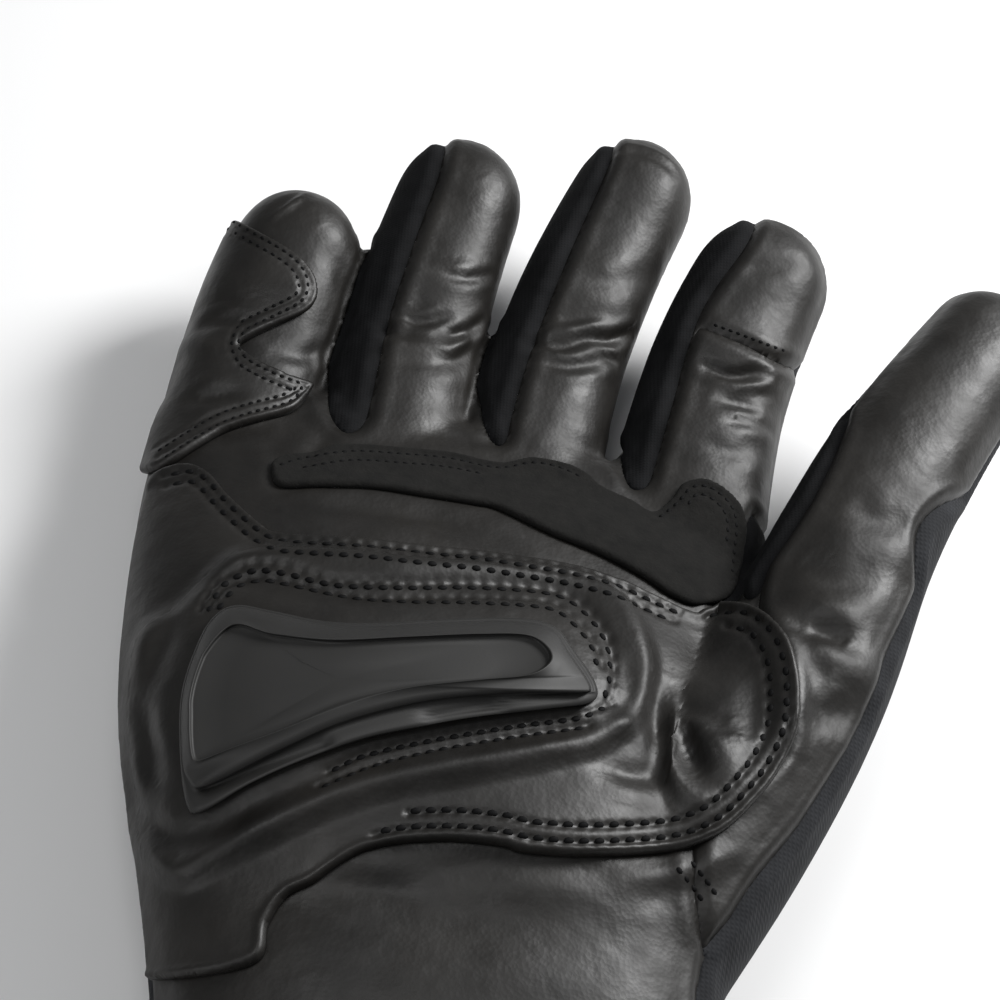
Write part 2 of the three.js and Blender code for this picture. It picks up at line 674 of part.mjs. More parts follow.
// The upright cut along the seam between the palm and the ball of the thumb
function thumbBallCut() {
  const line = thumbBallSeam.map(seenFromAbove);
  return solidThrough(line.map((p, i) => {
    const [before, after] = [line[Math.max(i - 1, 0)], line[Math.min(i + 1, line.length - 1)]];
    const ahead = new THREE.Vector2().subVectors(after, before);
    const across = new THREE.Vector2(ahead.y, -ahead.x).setLength(seamGap / 2);
    const low = thumbBallSeam[i].low * palmThickness;
    return [[-1, low], [1, low], [1, highest], [-1, highest]]
      .map(([side, z]) => new THREE.Vector3(p.x + side * across.x, p.y + side * across.y, z));
  }));
}

// An upright prism over a smooth outline with the corners that its rows mark
function prism(outline, low, high) {
  const points = [];
  const count = outline.length;
  outline.forEach((row, i) => {
    const after = outline[(i + 1) % count];
    points.push(seenFromAbove(row));
    if (row.sharp && after.sharp) return;
    const before = row.sharp ? row : outline[(i + count - 1) % count];
    const later = after.sharp ? after : outline[(i + 2) % count];
    const curve = new THREE.SplineCurve([before, row, after, later].map(seenFromAbove));
    const steps = Math.max(Math.round(seenFromAbove(row).distanceTo(seenFromAbove(after)) / outlineStep), 1);
    for (let k = 1; k < steps; k += 1) points.push(curve.getPoint((1 + k / steps) / 3));
  });
  const upright = { depth: high - low, bevelEnabled: false };
  return solidFrom(new THREE.ExtrudeGeometry(new THREE.Shape(points), upright).translate(0, 0, low));
}

// The separate solids of a cut piece, and the one of them that comes nearest to a point
const partsOf = (solid) => solid.decompose().filter((part) => part.volume() > smallestPart);
function nearest(parts, x, y, z) {
  const from = new THREE.Vector3(x, y, z);
  const reach = (part) => {
    const { numProp, vertProperties } = part.getMesh();
    let best = Infinity;
    for (let i = 0; i < vertProperties.length; i += numProp) {
      best = Math.min(best, from.distanceTo(new THREE.Vector3().fromArray(vertProperties, i)));
    }
    return best;
  };
  return parts.map((part) => ({ part, far: reach(part) })).sort((a, b) => a.far - b.far)[0].part;
}

const smallestPart = 20; // cubic millimetres
const highest = palmThickness * 2; // above the whole glove
const outlineStep = 9;
const bandStart = -12; // where the fingers' seams start, in millimetres from the crotch
const outerSides = { finger: 12, hand: 20 }; // of the sections
const innerSides = { finger: 8, hand: 14 };

const outerForm = (grow, openBy) => gloveForm(grow, outerSides, openBy);
const innerForm = (grow, openBy) => gloveForm(grow, innerSides, openBy);
const shell = outerForm(0).subtract(innerForm(-wall, wall));
const [little, ringFinger, middle, index] = fingers;
const fingerPairs = [[little, ringFinger], [ringFinger, middle], [middle, index]];

const joined = (solids) => solids.reduce((a, b) => a.add(b));
const cuffSeam = boxSolid(
  new THREE.Vector3(-cuffWidth, -wristReach - seamGap / 2, -1),
  new THREE.Vector3(cuffWidth, -wristReach + seamGap / 2, palmThickness * 2));
const nearSurface = 0.5; // how far past the surface a finger's seams are cut

const seams = joined([
  ...fingers.map((finger) => seamBand(finger, 0, bandStart, tipReach)
    .intersect(fingerSolid(finger, nearSurface, outerSides.finger))),
  ...fingerPairs.map(([a, b]) => crotchBlock(a, b, 0)),
  thumbBand(0, 0.2, 1.3),
  thumbCrotchBlock(0),
  sideSeam(),
  seamSteps(),
  touchTipSeam(index),
  cuffSeam,
  thumbBallCut(),
]);
const panels = partsOf(shell.subtract(seams));
const thumbTip = thumbPlace(1);
const indexTip = fingerFrame(index, index.length * 0.8).centre;
const touchTip = nearest(panels, indexTip.x, indexTip.y, highest);

const strips = fingers.map((finger) => seamBand(finger, seamGap, bandStart, stripEnd)
  .intersect(fingerSolid(finger, nearSurface - seamGap, outerSides.finger)));
const fourchettes = fingerPairs.map(([a, b], i) => {
  const region = joined([strips[i], strips[i + 1], crotchBlock(a, b, seamGap)]);
  const between = ((a.x + b.x) / 2) * palmWidth;
  return nearest(partsOf(shell.intersect(region)), between, ((a.y + b.y) / 2) * palmLength, fingerRootHeight);
});
const gusset = nearest(
  partsOf(shell.intersect(thumbBand(seamGap, 0.46, gussetEnd).add(thumbCrotchBlock(seamGap)))),
  palmWidth * 0.47, palmLength * 0.25, palmThickness * 0.5);

const layerTop = seatGap + layerThickness;
const padTop = seatGap + padThickness;
const plateBottom = padTop + seatGap;
const plateTop = plateBottom + sliderThickness;
const skin = (outline, from, to, low) => outerForm(to).subtract(outerForm(from))
  .intersect(prism(outline, low, highest));
const sideClear = sideSeamPlace(0, -1) * 1.15; // the layers end this far above the floor

const palmOverlay = skin(overlayOutline, seatGap, layerTop, sideClear)
  .add(skin(padOutline, seatGap, padTop, sideClear));
const gripBar = skin(gripOutline, seatGap, seatGap + suedeThickness, sideClear * 0.6);

// Everything below the little finger's outer seam
const past = 60; // wider than the finger
const littleStations = [-palmLength, 0, little.length * 0.5, little.length * 1.5];
const belowLittleSeam = solidThrough(fingerFrames(little, littleStations).map((frame) => {
  const p = roundFinger(little, frame, -1, outerSeamTurn, stripBulge);
  const low = -palmThickness;
  const z = Math.max(p.z, sideSeamPlace(0, -1) * 0.9) + 1;
  const corners = [[-past, low], [past, low], [past, z], [-past, z]];
  return corners.map(([x, height]) => new THREE.Vector3(p.x + x, p.y, height));
}));
const guard = skin(guardOutline, seatGap, layerTop, 0).subtract(belowLittleSeam);

const rimPrism = prism(rimOutline, 0, highest);
const slots = joined(skirtSlots.map((slot) => solidFrom(
  new THREE.BoxGeometry(slot.long * palmWidth, slot.wide * palmWidth, highest)
    .rotateZ(radians(slot.turn)).translate(slot.x * palmWidth, slot.y * palmLength, palmThickness))));
const slider = skin(sliderOutline, plateBottom, plateTop, midHeight)
  .subtract(outerForm(plateTop + 1).subtract(outerForm(plateTop - sliderSkirtDepth)).subtract(rimPrism))
  .subtract(skin(faceOutline, plateTop - sliderFaceDepth, plateTop + 1, midHeight))
  .subtract(slots);

// The binding folds round the cuff's end, with the leather in its groove
const bindingEnd = boxSolid(
  new THREE.Vector3(-cuffWidth, cuffEnd - palmLength, -1),
  new THREE.Vector3(cuffWidth, cuffEnd + bindingWidth, highest));
const binding = outerForm(bindingRoom, bindingRoom)
  .subtract(innerForm(-wall - bindingRoom, palmLength * 0.1))
  .subtract(outerForm(seatGap, seatGap).subtract(innerForm(-wall - seatGap, seatGap * 2)))
  .intersect(bindingEnd);

function meshOf(name, solid, colour, roughness) {
  const { numProp, vertProperties, triVerts, numVert } = solid.getMesh();
  const positions = new Float32Array(numVert * 3);
  for (let i = 0; i < numVert; i += 1) {
    positions.set(vertProperties.subarray(i * numProp, i * numProp + 3), i * 3);
  }
  const geometry = new THREE.BufferGeometry();
  geometry.setAttribute('position', new THREE.BufferAttribute(positions, 3));
  geometry.setIndex(new THREE.BufferAttribute(triVerts, 1));
  geometry.computeVertexNormals();
  const surface = new THREE.MeshStandardMaterial({ color: colour, roughness, metalness: 0 });
  const mesh = new THREE.Mesh(geometry, surface);
  mesh.name = name;
  return mesh;
}

// Each finished piece with its colour and roughness
const piecesOfGlove = {
  palm_leather: { solid: nearest(panels, 0, 0, palmThickness), colour: 0x2a2927, roughness: 0.45 },
  back_panel: { solid: nearest(panels, 0, 0, 0), colour: 0x2d2f31, roughness: 0.85 },
  thumb_leather: { solid: nearest(panels, thumbTip.x, thumbTip.y, highest), colour: 0x2a2927, roughness: 0.42 },
  index_touch_tip: { solid: touchTip, colour: 0x2c2b29, roughness: 0.4 },
  cuff: { solid: nearest(panels, 0, cuffEnd, cuffThickness), colour: 0x292826, roughness: 0.5 },
  cuff_binding: { solid: binding, colour: 0x1f1e1d, roughness: 0.55 },
  fourchette_little_ring: { solid: fourchettes[0], colour: 0x222325, roughness: 0.8 },
  fourchette_ring_middle: { solid: fourchettes[1], colour: 0x222325, roughness: 0.8 },
  fourchette_middle_index: { solid: fourchettes[2], colour: 0x222325, roughness: 0.8 },
  thumb_gusset: { solid: gusset, colour: 0x222325, roughness: 0.8 },
  little_finger_guard: { solid: guard, colour: 0x2a2927, roughness: 0.45 },
  grip_bar: { solid: gripBar, colour: 0x323130, roughness: 0.95 },
  palm_overlay: { solid: palmOverlay, colour: 0x2b2a28, roughness: 0.45 },
  slider_plate: { solid: slider, colour: 0x2b2b2a, roughness: 0.35 },
};

const glove = new THREE.Group();
Object.entries(piecesOfGlove).forEach(([name, piece]) => {
  glove.add(meshOf(name, piece.solid, piece.colour, piece.roughness));
});
export default glove;
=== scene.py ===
import math

import bmesh
import bpy
import numpy as np
from mathutils import Matrix, Vector, kdtree
from mathutils.bvhtree import BVHTree


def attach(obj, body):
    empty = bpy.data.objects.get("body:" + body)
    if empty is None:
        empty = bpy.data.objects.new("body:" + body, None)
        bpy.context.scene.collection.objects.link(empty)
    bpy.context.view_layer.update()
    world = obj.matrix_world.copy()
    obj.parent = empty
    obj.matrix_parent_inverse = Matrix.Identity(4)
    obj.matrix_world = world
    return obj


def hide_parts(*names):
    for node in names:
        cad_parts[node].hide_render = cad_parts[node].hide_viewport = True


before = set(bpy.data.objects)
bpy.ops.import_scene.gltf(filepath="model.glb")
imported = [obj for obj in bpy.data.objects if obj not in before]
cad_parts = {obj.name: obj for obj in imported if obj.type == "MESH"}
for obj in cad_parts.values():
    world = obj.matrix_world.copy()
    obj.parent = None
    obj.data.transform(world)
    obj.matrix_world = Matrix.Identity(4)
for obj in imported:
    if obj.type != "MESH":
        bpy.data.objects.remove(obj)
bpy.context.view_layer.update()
mm = 0.001


def table(columns, *rows):
    return {name: np.array([row[i] for row in rows], float) for i, name in enumerate(columns.split())}


def along(rows, key, column, at):  # a smooth curve through the rows of one column
    keys, values = rows[key], rows[column]
    at = np.asarray(at, float)
    i = np.clip(np.searchsorted(keys[1:-1], at, side="left"), 0, len(keys) - 2)
    before, after = np.maximum(i - 1, 0), np.minimum(i + 2, len(keys) - 1)
    span = keys[i + 1] - keys[i]
    t = np.clip((at - keys[i]) / span, 0, 1)
    slopeA = (values[i + 1] - values[before]) / (keys[i + 1] - keys[before]) * span
    slopeB = (values[after] - values[i]) / (keys[after] - keys[i]) * span
    rise = 3 * t**2 - 2 * t**3
    bend = (t**3 - 2 * t**2 + t) * slopeA + (t**3 - t**2) * slopeB
    return (1 - rise) * values[i] + rise * values[i + 1] + bend


def unit(v):
    return v / np.maximum(np.linalg.norm(v, axis=-1, keepdims=True), 1e-9)


# the picture's camera
picture = {
    "azimuth": -8.0,
    "elevation": 52.0,
    "roll": 13.0,
    "distance": 470.0,
    "focalPixels": 2700.0,
    "target": (4.0, 28.0, 38.0),
}


def pictureAxes():
    az, el, roll = (math.radians(picture[k]) for k in ("azimuth", "elevation", "roll"))
    back = np.array([math.sin(az) * math.cos(el), -math.cos(az) * math.cos(el), math.sin(el)])
    level = np.array([math.cos(az), math.sin(az), 0.0])
    tall = np.cross(back, level)
    right = math.cos(roll) * level + math.sin(roll) * tall
    up = -math.sin(roll) * level + math.cos(roll) * tall
    return right, up, back, np.array(picture["target"]) + back * picture["distance"]


pictureRight, pictureUp, pictureBack, eye = pictureAxes()


def castPicture(tree, px, py):  # the place on a surface that a point of the 1000 x 1000 picture shows
    f = picture["focalPixels"]
    ray = pictureRight * ((px - 500) / f) + pictureUp * ((500 - py) / f) - pictureBack
    hit, normal, *_ = tree.ray_cast(Vector(eye), Vector(unit(ray)))
    return None if hit is None else (np.array(hit), np.array(normal))


def seen(p, lift=0.0):  # where the picture shows places that are lifted straight up
    out = p + np.array([0, 0, lift]) - eye
    f = picture["focalPixels"] / -(out @ pictureBack)
    return np.stack([500 + f * (out @ pictureRight), 500 - f * (out @ pictureUp)], 1)


def smoothLine(knots, step=0.5, closed=False):  # a smooth line through points, with even steps
    knots = np.asarray(knots, float)
    if len(knots) < 3:
        knots = np.vstack([knots[0], (knots[0] + knots[-1]) / 2, knots[-1]])
    if closed:
        ends = np.vstack([knots[-1:], knots, knots[:2]])
    else:
        ends = np.vstack([2 * knots[0] - knots[1], knots, 2 * knots[-1] - knots[-2]])
    fine = []
    for a, b, c, d in zip(ends, ends[1:], ends[2:], ends[3:]):
        t = np.linspace(0, 1, 24, endpoint=False)[:, None]
        bend = (2 * a - 5 * b + 4 * c - d) * t**2 + (3 * b - a - 3 * c + d) * t**3
        fine.append(0.5 * (2 * b + (c - a) * t + bend))
    fine = np.vstack([*fine, ends[-2:-1]])
    gone = np.concatenate([[0], np.cumsum(np.linalg.norm(np.diff(fine, axis=0), axis=1))])
    even = np.arange(0, gone[-1], step)
    return np.stack([np.interp(even, gone, fine[:, k]) for k in range(fine.shape[1])], 1)


def insideOf(polygon, xy):
    low, high = polygon.min(0), polygon.max(0)
    near = np.where(((xy > low) & (xy < high)).all(1))[0]
    inside = np.zeros(len(xy), bool)
    a, b = polygon, np.roll(polygon, -1, axis=0)
    for chunk in np.array_split(near, max(len(near) // 4000, 1)):
        px, py = xy[chunk, 0][:, None], xy[chunk, 1][:, None]
        crosses = ((a[:, 1] > py) != (b[:, 1] > py)) & (
            px < (b[:, 0] - a[:, 0]) * (py - a[:, 1]) / (b[:, 1] - a[:, 1] + 1e-12) + a[:, 0])
        inside[chunk] = crosses.sum(1) % 2 == 1
    return inside


# the body of the glove
hand = {
    "palmWidth": 112.0,
    "palmLength": 100.0,
    "palmThickness": 44.0,
    "knuckleReach": 57.0,
    "wristReach": 88.0,
    "wristWidth": 88.0,
    "wristThickness": 40.0,
    "cuffLength": 58.0,
    "cuffWidth": 112.0,
    "cuffThickness": 50.0,
    "cuffStraight": 11.7,
    "cuffFloor": 1.7,
    "midHeight": 20.0,
    "wall": 2.4,
    "rootHeight": 16.0,
    "voxel": 1.0,
    "smoothing": 14,
    "limbSides": 64,
    "palmSides": 120,
}
palmWide, palmLong, palmThick = hand["palmWidth"], hand["palmLength"], hand["palmThickness"]
cuffEnd = -hand["wristReach"] - hand["cuffLength"]
fingers = table(  # little, ring, middle and index finger
    "length width depth x y lean leanTip rise riseTip",
    (51, 26.5, 24, -0.377, 0.56, 4, 19, 6, 20),
    (67, 27.5, 24.5, -0.13, 0.57, 4, 18, 5, 18),
    (74, 26.5, 25, 0.107, 0.57, 8, 27, 5, 17),
    (64, 29.5, 26, 0.374, 0.5, 5, 29, 6, 17),
)
fingerRows = table(
    "along wide above below",
    (0, 1.0, 0.99, 1.0),
    (0.17, 0.99, 1.02, 0.99),
    (0.31, 0.97, 0.91, 0.97),
    (0.46, 0.96, 1.0, 0.96),
    (0.62, 0.94, 0.92, 0.94),
    (1, 0.87, 0.9, 0.86),
)
stripRows = table(
    "along leftTop leftBottom rightTop rightBottom",
    (-0.2, 40, -22, -4, -30),
    (0, 54, -20, -14, -34),
    (0.14, 64, -14, -32, -50),
    (0.5, 67, -10, -34, -50),
    (0.8, 64, -4, -34, -48),
    (0.97, 54, 20, -30, -34),
)
thumbRows = table(
    "at x y z wide deep leftTop leftBottom right",
    (0.0, 0.2, -0.56, 0.47, 0.36, 0.8, 0.66, 0.36, 0.778),
    (0.2, 0.385, -0.22, 0.5, 0.34, 0.86, 0.66, 0.36, 0.778),
    (0.4, 0.52, 0.05, 0.56, 0.3, 0.78, 0.66, 0.36, 0.778),
    (0.6, 0.62, 0.33, 0.66, 0.262, 0.64, 0.84, 0.52, 0.778),
    (0.8, 0.71, 0.54, 0.72, 0.245, 0.58, 0.85, 0.76, 0.774),
    (1.0, 0.85, 0.8, 0.78, 0.205, 0.5, 0.84, 0.833, 0.766),
)
sideSeamRows = table(
    "reach left right",
    (-1.02, 1.1, 0.56),
    (-0.8, 1.1, 0.7),
    (-0.55, 1.1, 0.778),
    (-0.2, 1.1, 0.778),
    (0.2, 0.95, 0.5),
    (0.34, 0.85, 0.42),
    (0.8, 0.7, 0.333),
)
broadFolds = table(
    "x y long wide turn rise",
    (0.3, -0.1, 0.2, 0.07, 80, -0.06),
    (0.37, -0.2, 0.12, 0.04, 75, 0.04),
    (0.2, 0.12, 0.25, 0.09, 5, -0.05),
    (0.43, 0.14, 0.1, 0.07, 60, -0.07),
    (-0.05, -0.55, 0.35, 0.06, 0, -0.05),
    (0, -1.02, 0.5, 0.08, 3, -0.06),
    (0.05, -1.2, 0.5, 0.06, -4, 0.03),
)
thumbBallSeam = table(  # from above, between the palm and the ball of the thumb
    "y x",
    (-1.5, 0.9),
    (-0.74, 0.5),
    (-0.62, 0.4),
    (-0.46, 0.345),
    (-0.33, 0.35),
    (-0.19, 0.465),
    (-0.03, 0.475),
    (0.12, 0.445),
    (0.3, 0.475),
    (0.46, 0.51),
    (0.6, 0.58),
    (0.8, 0.66),
    (1.3, 0.78),
)


def foldLift(p):
    lift = np.zeros(len(p))
    for x, y, long, wide, turn, rise in zip(*broadFolds.values()):
        dx, dy = p[:, 0] - x * palmWide, p[:, 1] - y * palmLong
        c, s = math.cos(math.radians(turn)), math.sin(math.radians(turn))
        lengthwise = (dx * c + dy * s) / (long * palmWide)
        crosswise = (dy * c - dx * s) / (wide * palmWide)
        lift += rise * palmThick * np.exp(-(lengthwise**2 + crosswise**2))
    return lift


def ringPoints(centre, side, up, halfWidth, above, below, sides, squareness=2.3, floor=0.0):
    angle = np.arange(sides) * 2 * math.pi / sides
    c, s = np.cos(angle), np.sin(angle)
    across = np.sign(c) * np.abs(c) ** (2 / squareness) * halfWidth
    high = np.sign(s) * np.abs(s) ** (2 / squareness) * np.where(s > 0, above, below)
    p = centre + np.outer(across, side) + np.outer(high, up)
    p[:, 2] += np.where(high > 0, foldLift(p) * s, 0)
    p[:, 2] = np.maximum(p[:, 2], floor)
    return p


fingerShape = {"behind": 24, "beyond": 8, "step": 0.25, "tipRadius": 0.47, "ringStep": 1.5}


class Finger:
    def __init__(self, i):
        self.__dict__.update({k: v[i] for k, v in fingers.items()})
        step = fingerShape["step"]
        self.grid = np.arange(-fingerShape["behind"], self.length + fingerShape["beyond"], step)
        share = np.clip(self.grid / self.length, 0, 1)
        lean = np.radians(self.lean + (self.leanTip - self.lean) * share)
        rise = np.radians(self.rise + (self.riseTip - self.rise) * share)
        self.ahead = np.stack([np.sin(lean) * np.cos(rise), np.cos(lean) * np.cos(rise), np.sin(rise)], 1)
        self.side = np.stack([np.cos(lean), -np.sin(lean), 0 * lean], 1)
        path = np.vstack([[0, 0, 0], np.cumsum((self.ahead[1:] + self.ahead[:-1]) / 2 * step, axis=0)])
        start = np.array([np.interp(0, self.grid, path[:, k]) for k in range(3)])
        self.path = path - start + np.array([self.x * palmWide, self.y * palmLong, hand["rootHeight"]])

    def at(self, values, s):
        return np.stack([np.interp(s, self.grid, values[:, k]) for k in range(3)], -1)

    def local(self, p):  # station, across and height of points near the finger
        s = (p - self.at(self.path, np.zeros(len(p)))) @ self.at(self.ahead, 0.0)
        for _ in range(5):
            gap = p - self.at(self.path, s)
            s = s + (gap * self.at(self.ahead, s)).sum(1)
            s = np.clip(s, 1 - fingerShape["behind"], self.length + fingerShape["beyond"] - 1)
        gap = p - self.at(self.path, s)
        side, ahead = self.at(self.side, s), self.at(self.ahead, s)
        return s, (gap * side).sum(1), (gap * np.cross(side, ahead)).sum(1)

    def halves(self, s):
        share = np.clip(s / self.length, 0, 1)
        wide, above, below = (along(fingerRows, "along", k, share) for k in ("wide", "above", "below"))
        return self.width / 2 * wide, self.depth / 2 * above, self.depth / 2 * below

    def rings(self, sides):
        radius = self.width * fingerShape["tipRadius"]
        roundStart = self.length - radius
        free = np.arange(-12, roundStart, fingerShape["ringStep"])
        rounded = roundStart + radius * np.sin(np.linspace(0.0, 0.992, 12) * math.pi / 2)
        for s in [-20.0, *free, *rounded]:
            left = 1.0 if s <= roundStart else math.sqrt(max(1 - ((s - roundStart) / radius) ** 2, 0))
            side, ahead = self.at(self.side, s), self.at(self.ahead, s)
            half = [h * left for h in self.halves(s)]
            yield ringPoints(self.at(self.path, s), side, np.cross(side, ahead), *half, sides)


fingerList = [Finger(i) for i in range(len(fingers["length"]))]


def thumbPlace(t):
    sizes = {"x": palmWide, "y": palmLong, "z": palmThick}
    return np.stack([along(thumbRows, "at", k, t) * size for k, size in sizes.items()], -1)


def thumbAxes(t):
    ahead = unit(thumbPlace(np.minimum(t + 0.02, 1)) - thumbPlace(np.maximum(t - 0.02, 0)))
    side = unit(np.stack([ahead[..., 1], -ahead[..., 0], 0 * ahead[..., 0]], -1))
    return ahead, side, np.cross(side, ahead)


def thumbRings(sides):
    tipRadius = thumbRows["wide"][-1] * palmWide * 0.5
    for t in np.linspace(0, 1, 60):
        ahead, side, up = thumbAxes(t)
        half = float(along(thumbRows, "at", "deep", t)) * palmThick * 0.5
        halfWidth = float(along(thumbRows, "at", "wide", t)) * palmWide * 0.5
        yield ringPoints(thumbPlace(t), side, up, halfWidth, half, half, sides)
    ahead, side, up = thumbAxes(1.0)
    half = thumbRows["deep"][-1] * palmThick * 0.5
    for turn in np.linspace(0, 0.992, 12)[1:] * math.pi / 2:
        left = math.cos(turn)
        centre = thumbPlace(1.0) + ahead * tipRadius * math.sin(turn)
        yield ringPoints(centre, side, up, tipRadius * left, half * left, half * left, sides)


def reachPlace(reach):
    return reach * (hand["wristReach"] if reach < 0 else hand["knuckleReach"])


cuffHalf, wristHalf = hand["cuffWidth"] / 2, hand["wristWidth"] / 2
cuffThick, cuffFloor = hand["cuffThickness"], hand["cuffFloor"]
handRows = table(
    "y left right top skew floor",
    (cuffEnd, -cuffHalf, cuffHalf, cuffThick, 0, cuffFloor),
    (cuffEnd + hand["cuffStraight"], -0.975 * cuffHalf, 0.975 * cuffHalf, cuffThick, 0, cuffFloor),
    (cuffEnd + 0.5 * hand["cuffLength"], -0.9 * cuffHalf, 0.9 * cuffHalf, 0.92 * cuffThick, 0, 0),
    (-hand["wristReach"], -wristHalf, wristHalf, hand["wristThickness"], 0, 0),
    (reachPlace(-0.8), -0.395 * palmWide, 0.4 * palmWide, 0.94 * palmThick, 0, 0),
    (reachPlace(-0.5), -0.44 * palmWide, 0.42 * palmWide, palmThick, 0, 0),
    (reachPlace(-0.2), -0.495 * palmWide, 0.44 * palmWide, palmThick, 0, 0),
    (reachPlace(0.1), -0.515 * palmWide, 0.455 * palmWide, 0.92 * palmThick, -0.04, 0),
    (reachPlace(0.5), -0.52 * palmWide, 0.468 * palmWide, 0.77 * palmThick, -0.1, 0),
    (reachPlace(0.76), -0.508 * palmWide, 0.455 * palmWide, 0.625 * palmThick, -0.13, 0),
)


def handRing(y, sides, grow=0.0, left=1.0, rowY=None):
    row = {k: float(along(handRows, "y", k, y if rowY is None else rowY)) for k in handRows if k != "y"}
    centre = (row["left"] + row["right"]) / 2
    halfWidth = ((row["right"] - row["left"]) / 2 + grow) * (0.55 + 0.45 * left)
    mid = hand["midHeight"]
    p = ringPoints(
        np.array([centre, y, mid]), np.array([1.0, 0, 0]), np.array([0, 0, 1.0]), halfWidth,
        (row["top"] - mid + grow) * left, (mid + 3 + grow) * left, sides, 2.5, max(0.0, row["floor"] - grow))
    p[:, 1] += row["skew"] * (p[:, 0] - centre)
    return p


def handRings(sides):
    endY = handRows["y"][-1]
    yield handRing(cuffEnd - 6, sides, rowY=cuffEnd)
    for y in np.arange(cuffEnd - 3, endY, 2.5):
        yield handRing(y, sides)
    for turn in np.linspace(0, 0.97, 12) * math.pi / 2:
        y = endY + (hand["knuckleReach"] - endY) * math.sin(turn)
        yield handRing(y, sides, left=math.cos(turn), rowY=endY)


def lathe(rings, closed=False):  # points and faces through rings of points, with fans at the ends
    rings = [np.asarray(r) for r in rings]
    sides, count = len(rings[0]), len(rings)
    points, faces = list(np.vstack(rings)), []
    for i in range(count if closed else count - 1):
        a, b = i * sides, ((i + 1) % count) * sides
        faces += [(a + j, a + (j + 1) % sides, b + (j + 1) % sides, b + j) for j in range(sides)]
    if not closed:
        for base, ring, turn in ((0, rings[0], 1), ((count - 1) * sides, rings[-1], -1)):
            points.append(ring.mean(0))
            tip = len(points) - 1
            faces += [(tip, base + (j + 1) % sides, base + j)[::turn] for j in range(sides)]
    return np.array(points), faces


def meshObject(name, points, faces):
    mesh = bpy.data.meshes.new(name)
    mesh.from_pydata((np.asarray(points) * mm).tolist(), [], [tuple(map(int, f)) for f in faces])
    mesh.update()
    mesh.shade_smooth()
    made = bpy.data.objects.new(name, mesh)
    bpy.context.scene.collection.objects.link(made)
    return made


def applied(made):  # the object with its modifiers worked into its mesh
    graph = bpy.context.evaluated_depsgraph_get()
    mesh = bpy.data.meshes.new_from_object(made.evaluated_get(graph))
    made.modifiers.clear()
    old, made.data = made.data, mesh
    bpy.data.meshes.remove(old)
    return made


def facesOut(made):
    work = bmesh.new()
    work.from_mesh(made.data)
    bmesh.ops.recalc_face_normals(work, faces=work.faces)
    work.to_mesh(made.data)
    work.free()
    return made


def trianglesOf(made):
    mesh = made.data
    mesh.calc_loop_triangles()
    points = np.zeros(len(mesh.vertices) * 3)
    mesh.vertices.foreach_get("co", points)
    tris = np.zeros(len(mesh.loop_triangles) * 3, np.int64)
    mesh.loop_triangles.foreach_get("vertices", tris)
    return points.reshape(-1, 3) / mm, tris.reshape(-1, 3)


def vertexNormals(points, tris):
    cross = np.cross(points[tris[:, 1]] - points[tris[:, 0]], points[tris[:, 2]] - points[tris[:, 0]])
    total = [
        sum(np.bincount(tris[:, k], cross[:, axis], len(points)) for k in range(3)) for axis in range(3)]
    return unit(np.stack(total, 1))


def sidesOf(tris):
    return np.vstack([tris[:, [0, 1]], tris[:, [1, 2]], tris[:, [2, 0]]])


def edgesOf(tris):
    return np.unique(np.sort(sidesOf(tris), axis=1), axis=0)


def rimOf(tris):  # the sides that only one triangle has
    sides = sidesOf(tris)
    _, index, count = np.unique(np.sort(sides, axis=1), axis=0, return_index=True, return_counts=True)
    return sides[index[count == 1]]


def smoothed(values, edges, times, share=0.5):
    count = np.bincount(edges.ravel(), minlength=len(values))[:, None]
    a, b = edges.T
    for _ in range(times):
        total = np.stack([
            np.bincount(a, values[b, axis], len(values)) + np.bincount(b, values[a, axis], len(values))
            for axis in range(values.shape[1])], 1)
        values = values + share * (total / np.maximum(count, 1) - values)
    return values


def buildForm():
    sides = hand["limbSides"]
    limbs = [lathe(finger.rings(sides)) for finger in fingerList]
    limbs += [lathe(thumbRings(sides)), lathe(handRings(hand["palmSides"]))]
    points, faces, offset = [], [], 0
    for p, f in limbs:
        points.append(p)
        faces += [tuple(i + offset for i in face) for face in f]
        offset += len(p)
    made = facesOut(meshObject("form", np.vstack(points), faces))
    remesh = made.modifiers.new("voxels", "REMESH")
    remesh.mode = "VOXEL"
    remesh.voxel_size = hand["voxel"] * mm
    applied(made)
    p, tris = trianglesOf(made)
    bpy.data.objects.remove(made)
    p = smoothed(p, edgesOf(tris), hand["smoothing"])
    p[:, 2] = np.maximum(p[:, 2], 0)
    return p, tris


formPoints, formTris = buildForm()
formNormals = vertexNormals(formPoints, formTris)
formTree = BVHTree.FromPolygons(formPoints.tolist(), formTris.tolist())
print("form:", len(formTris), "triangles")

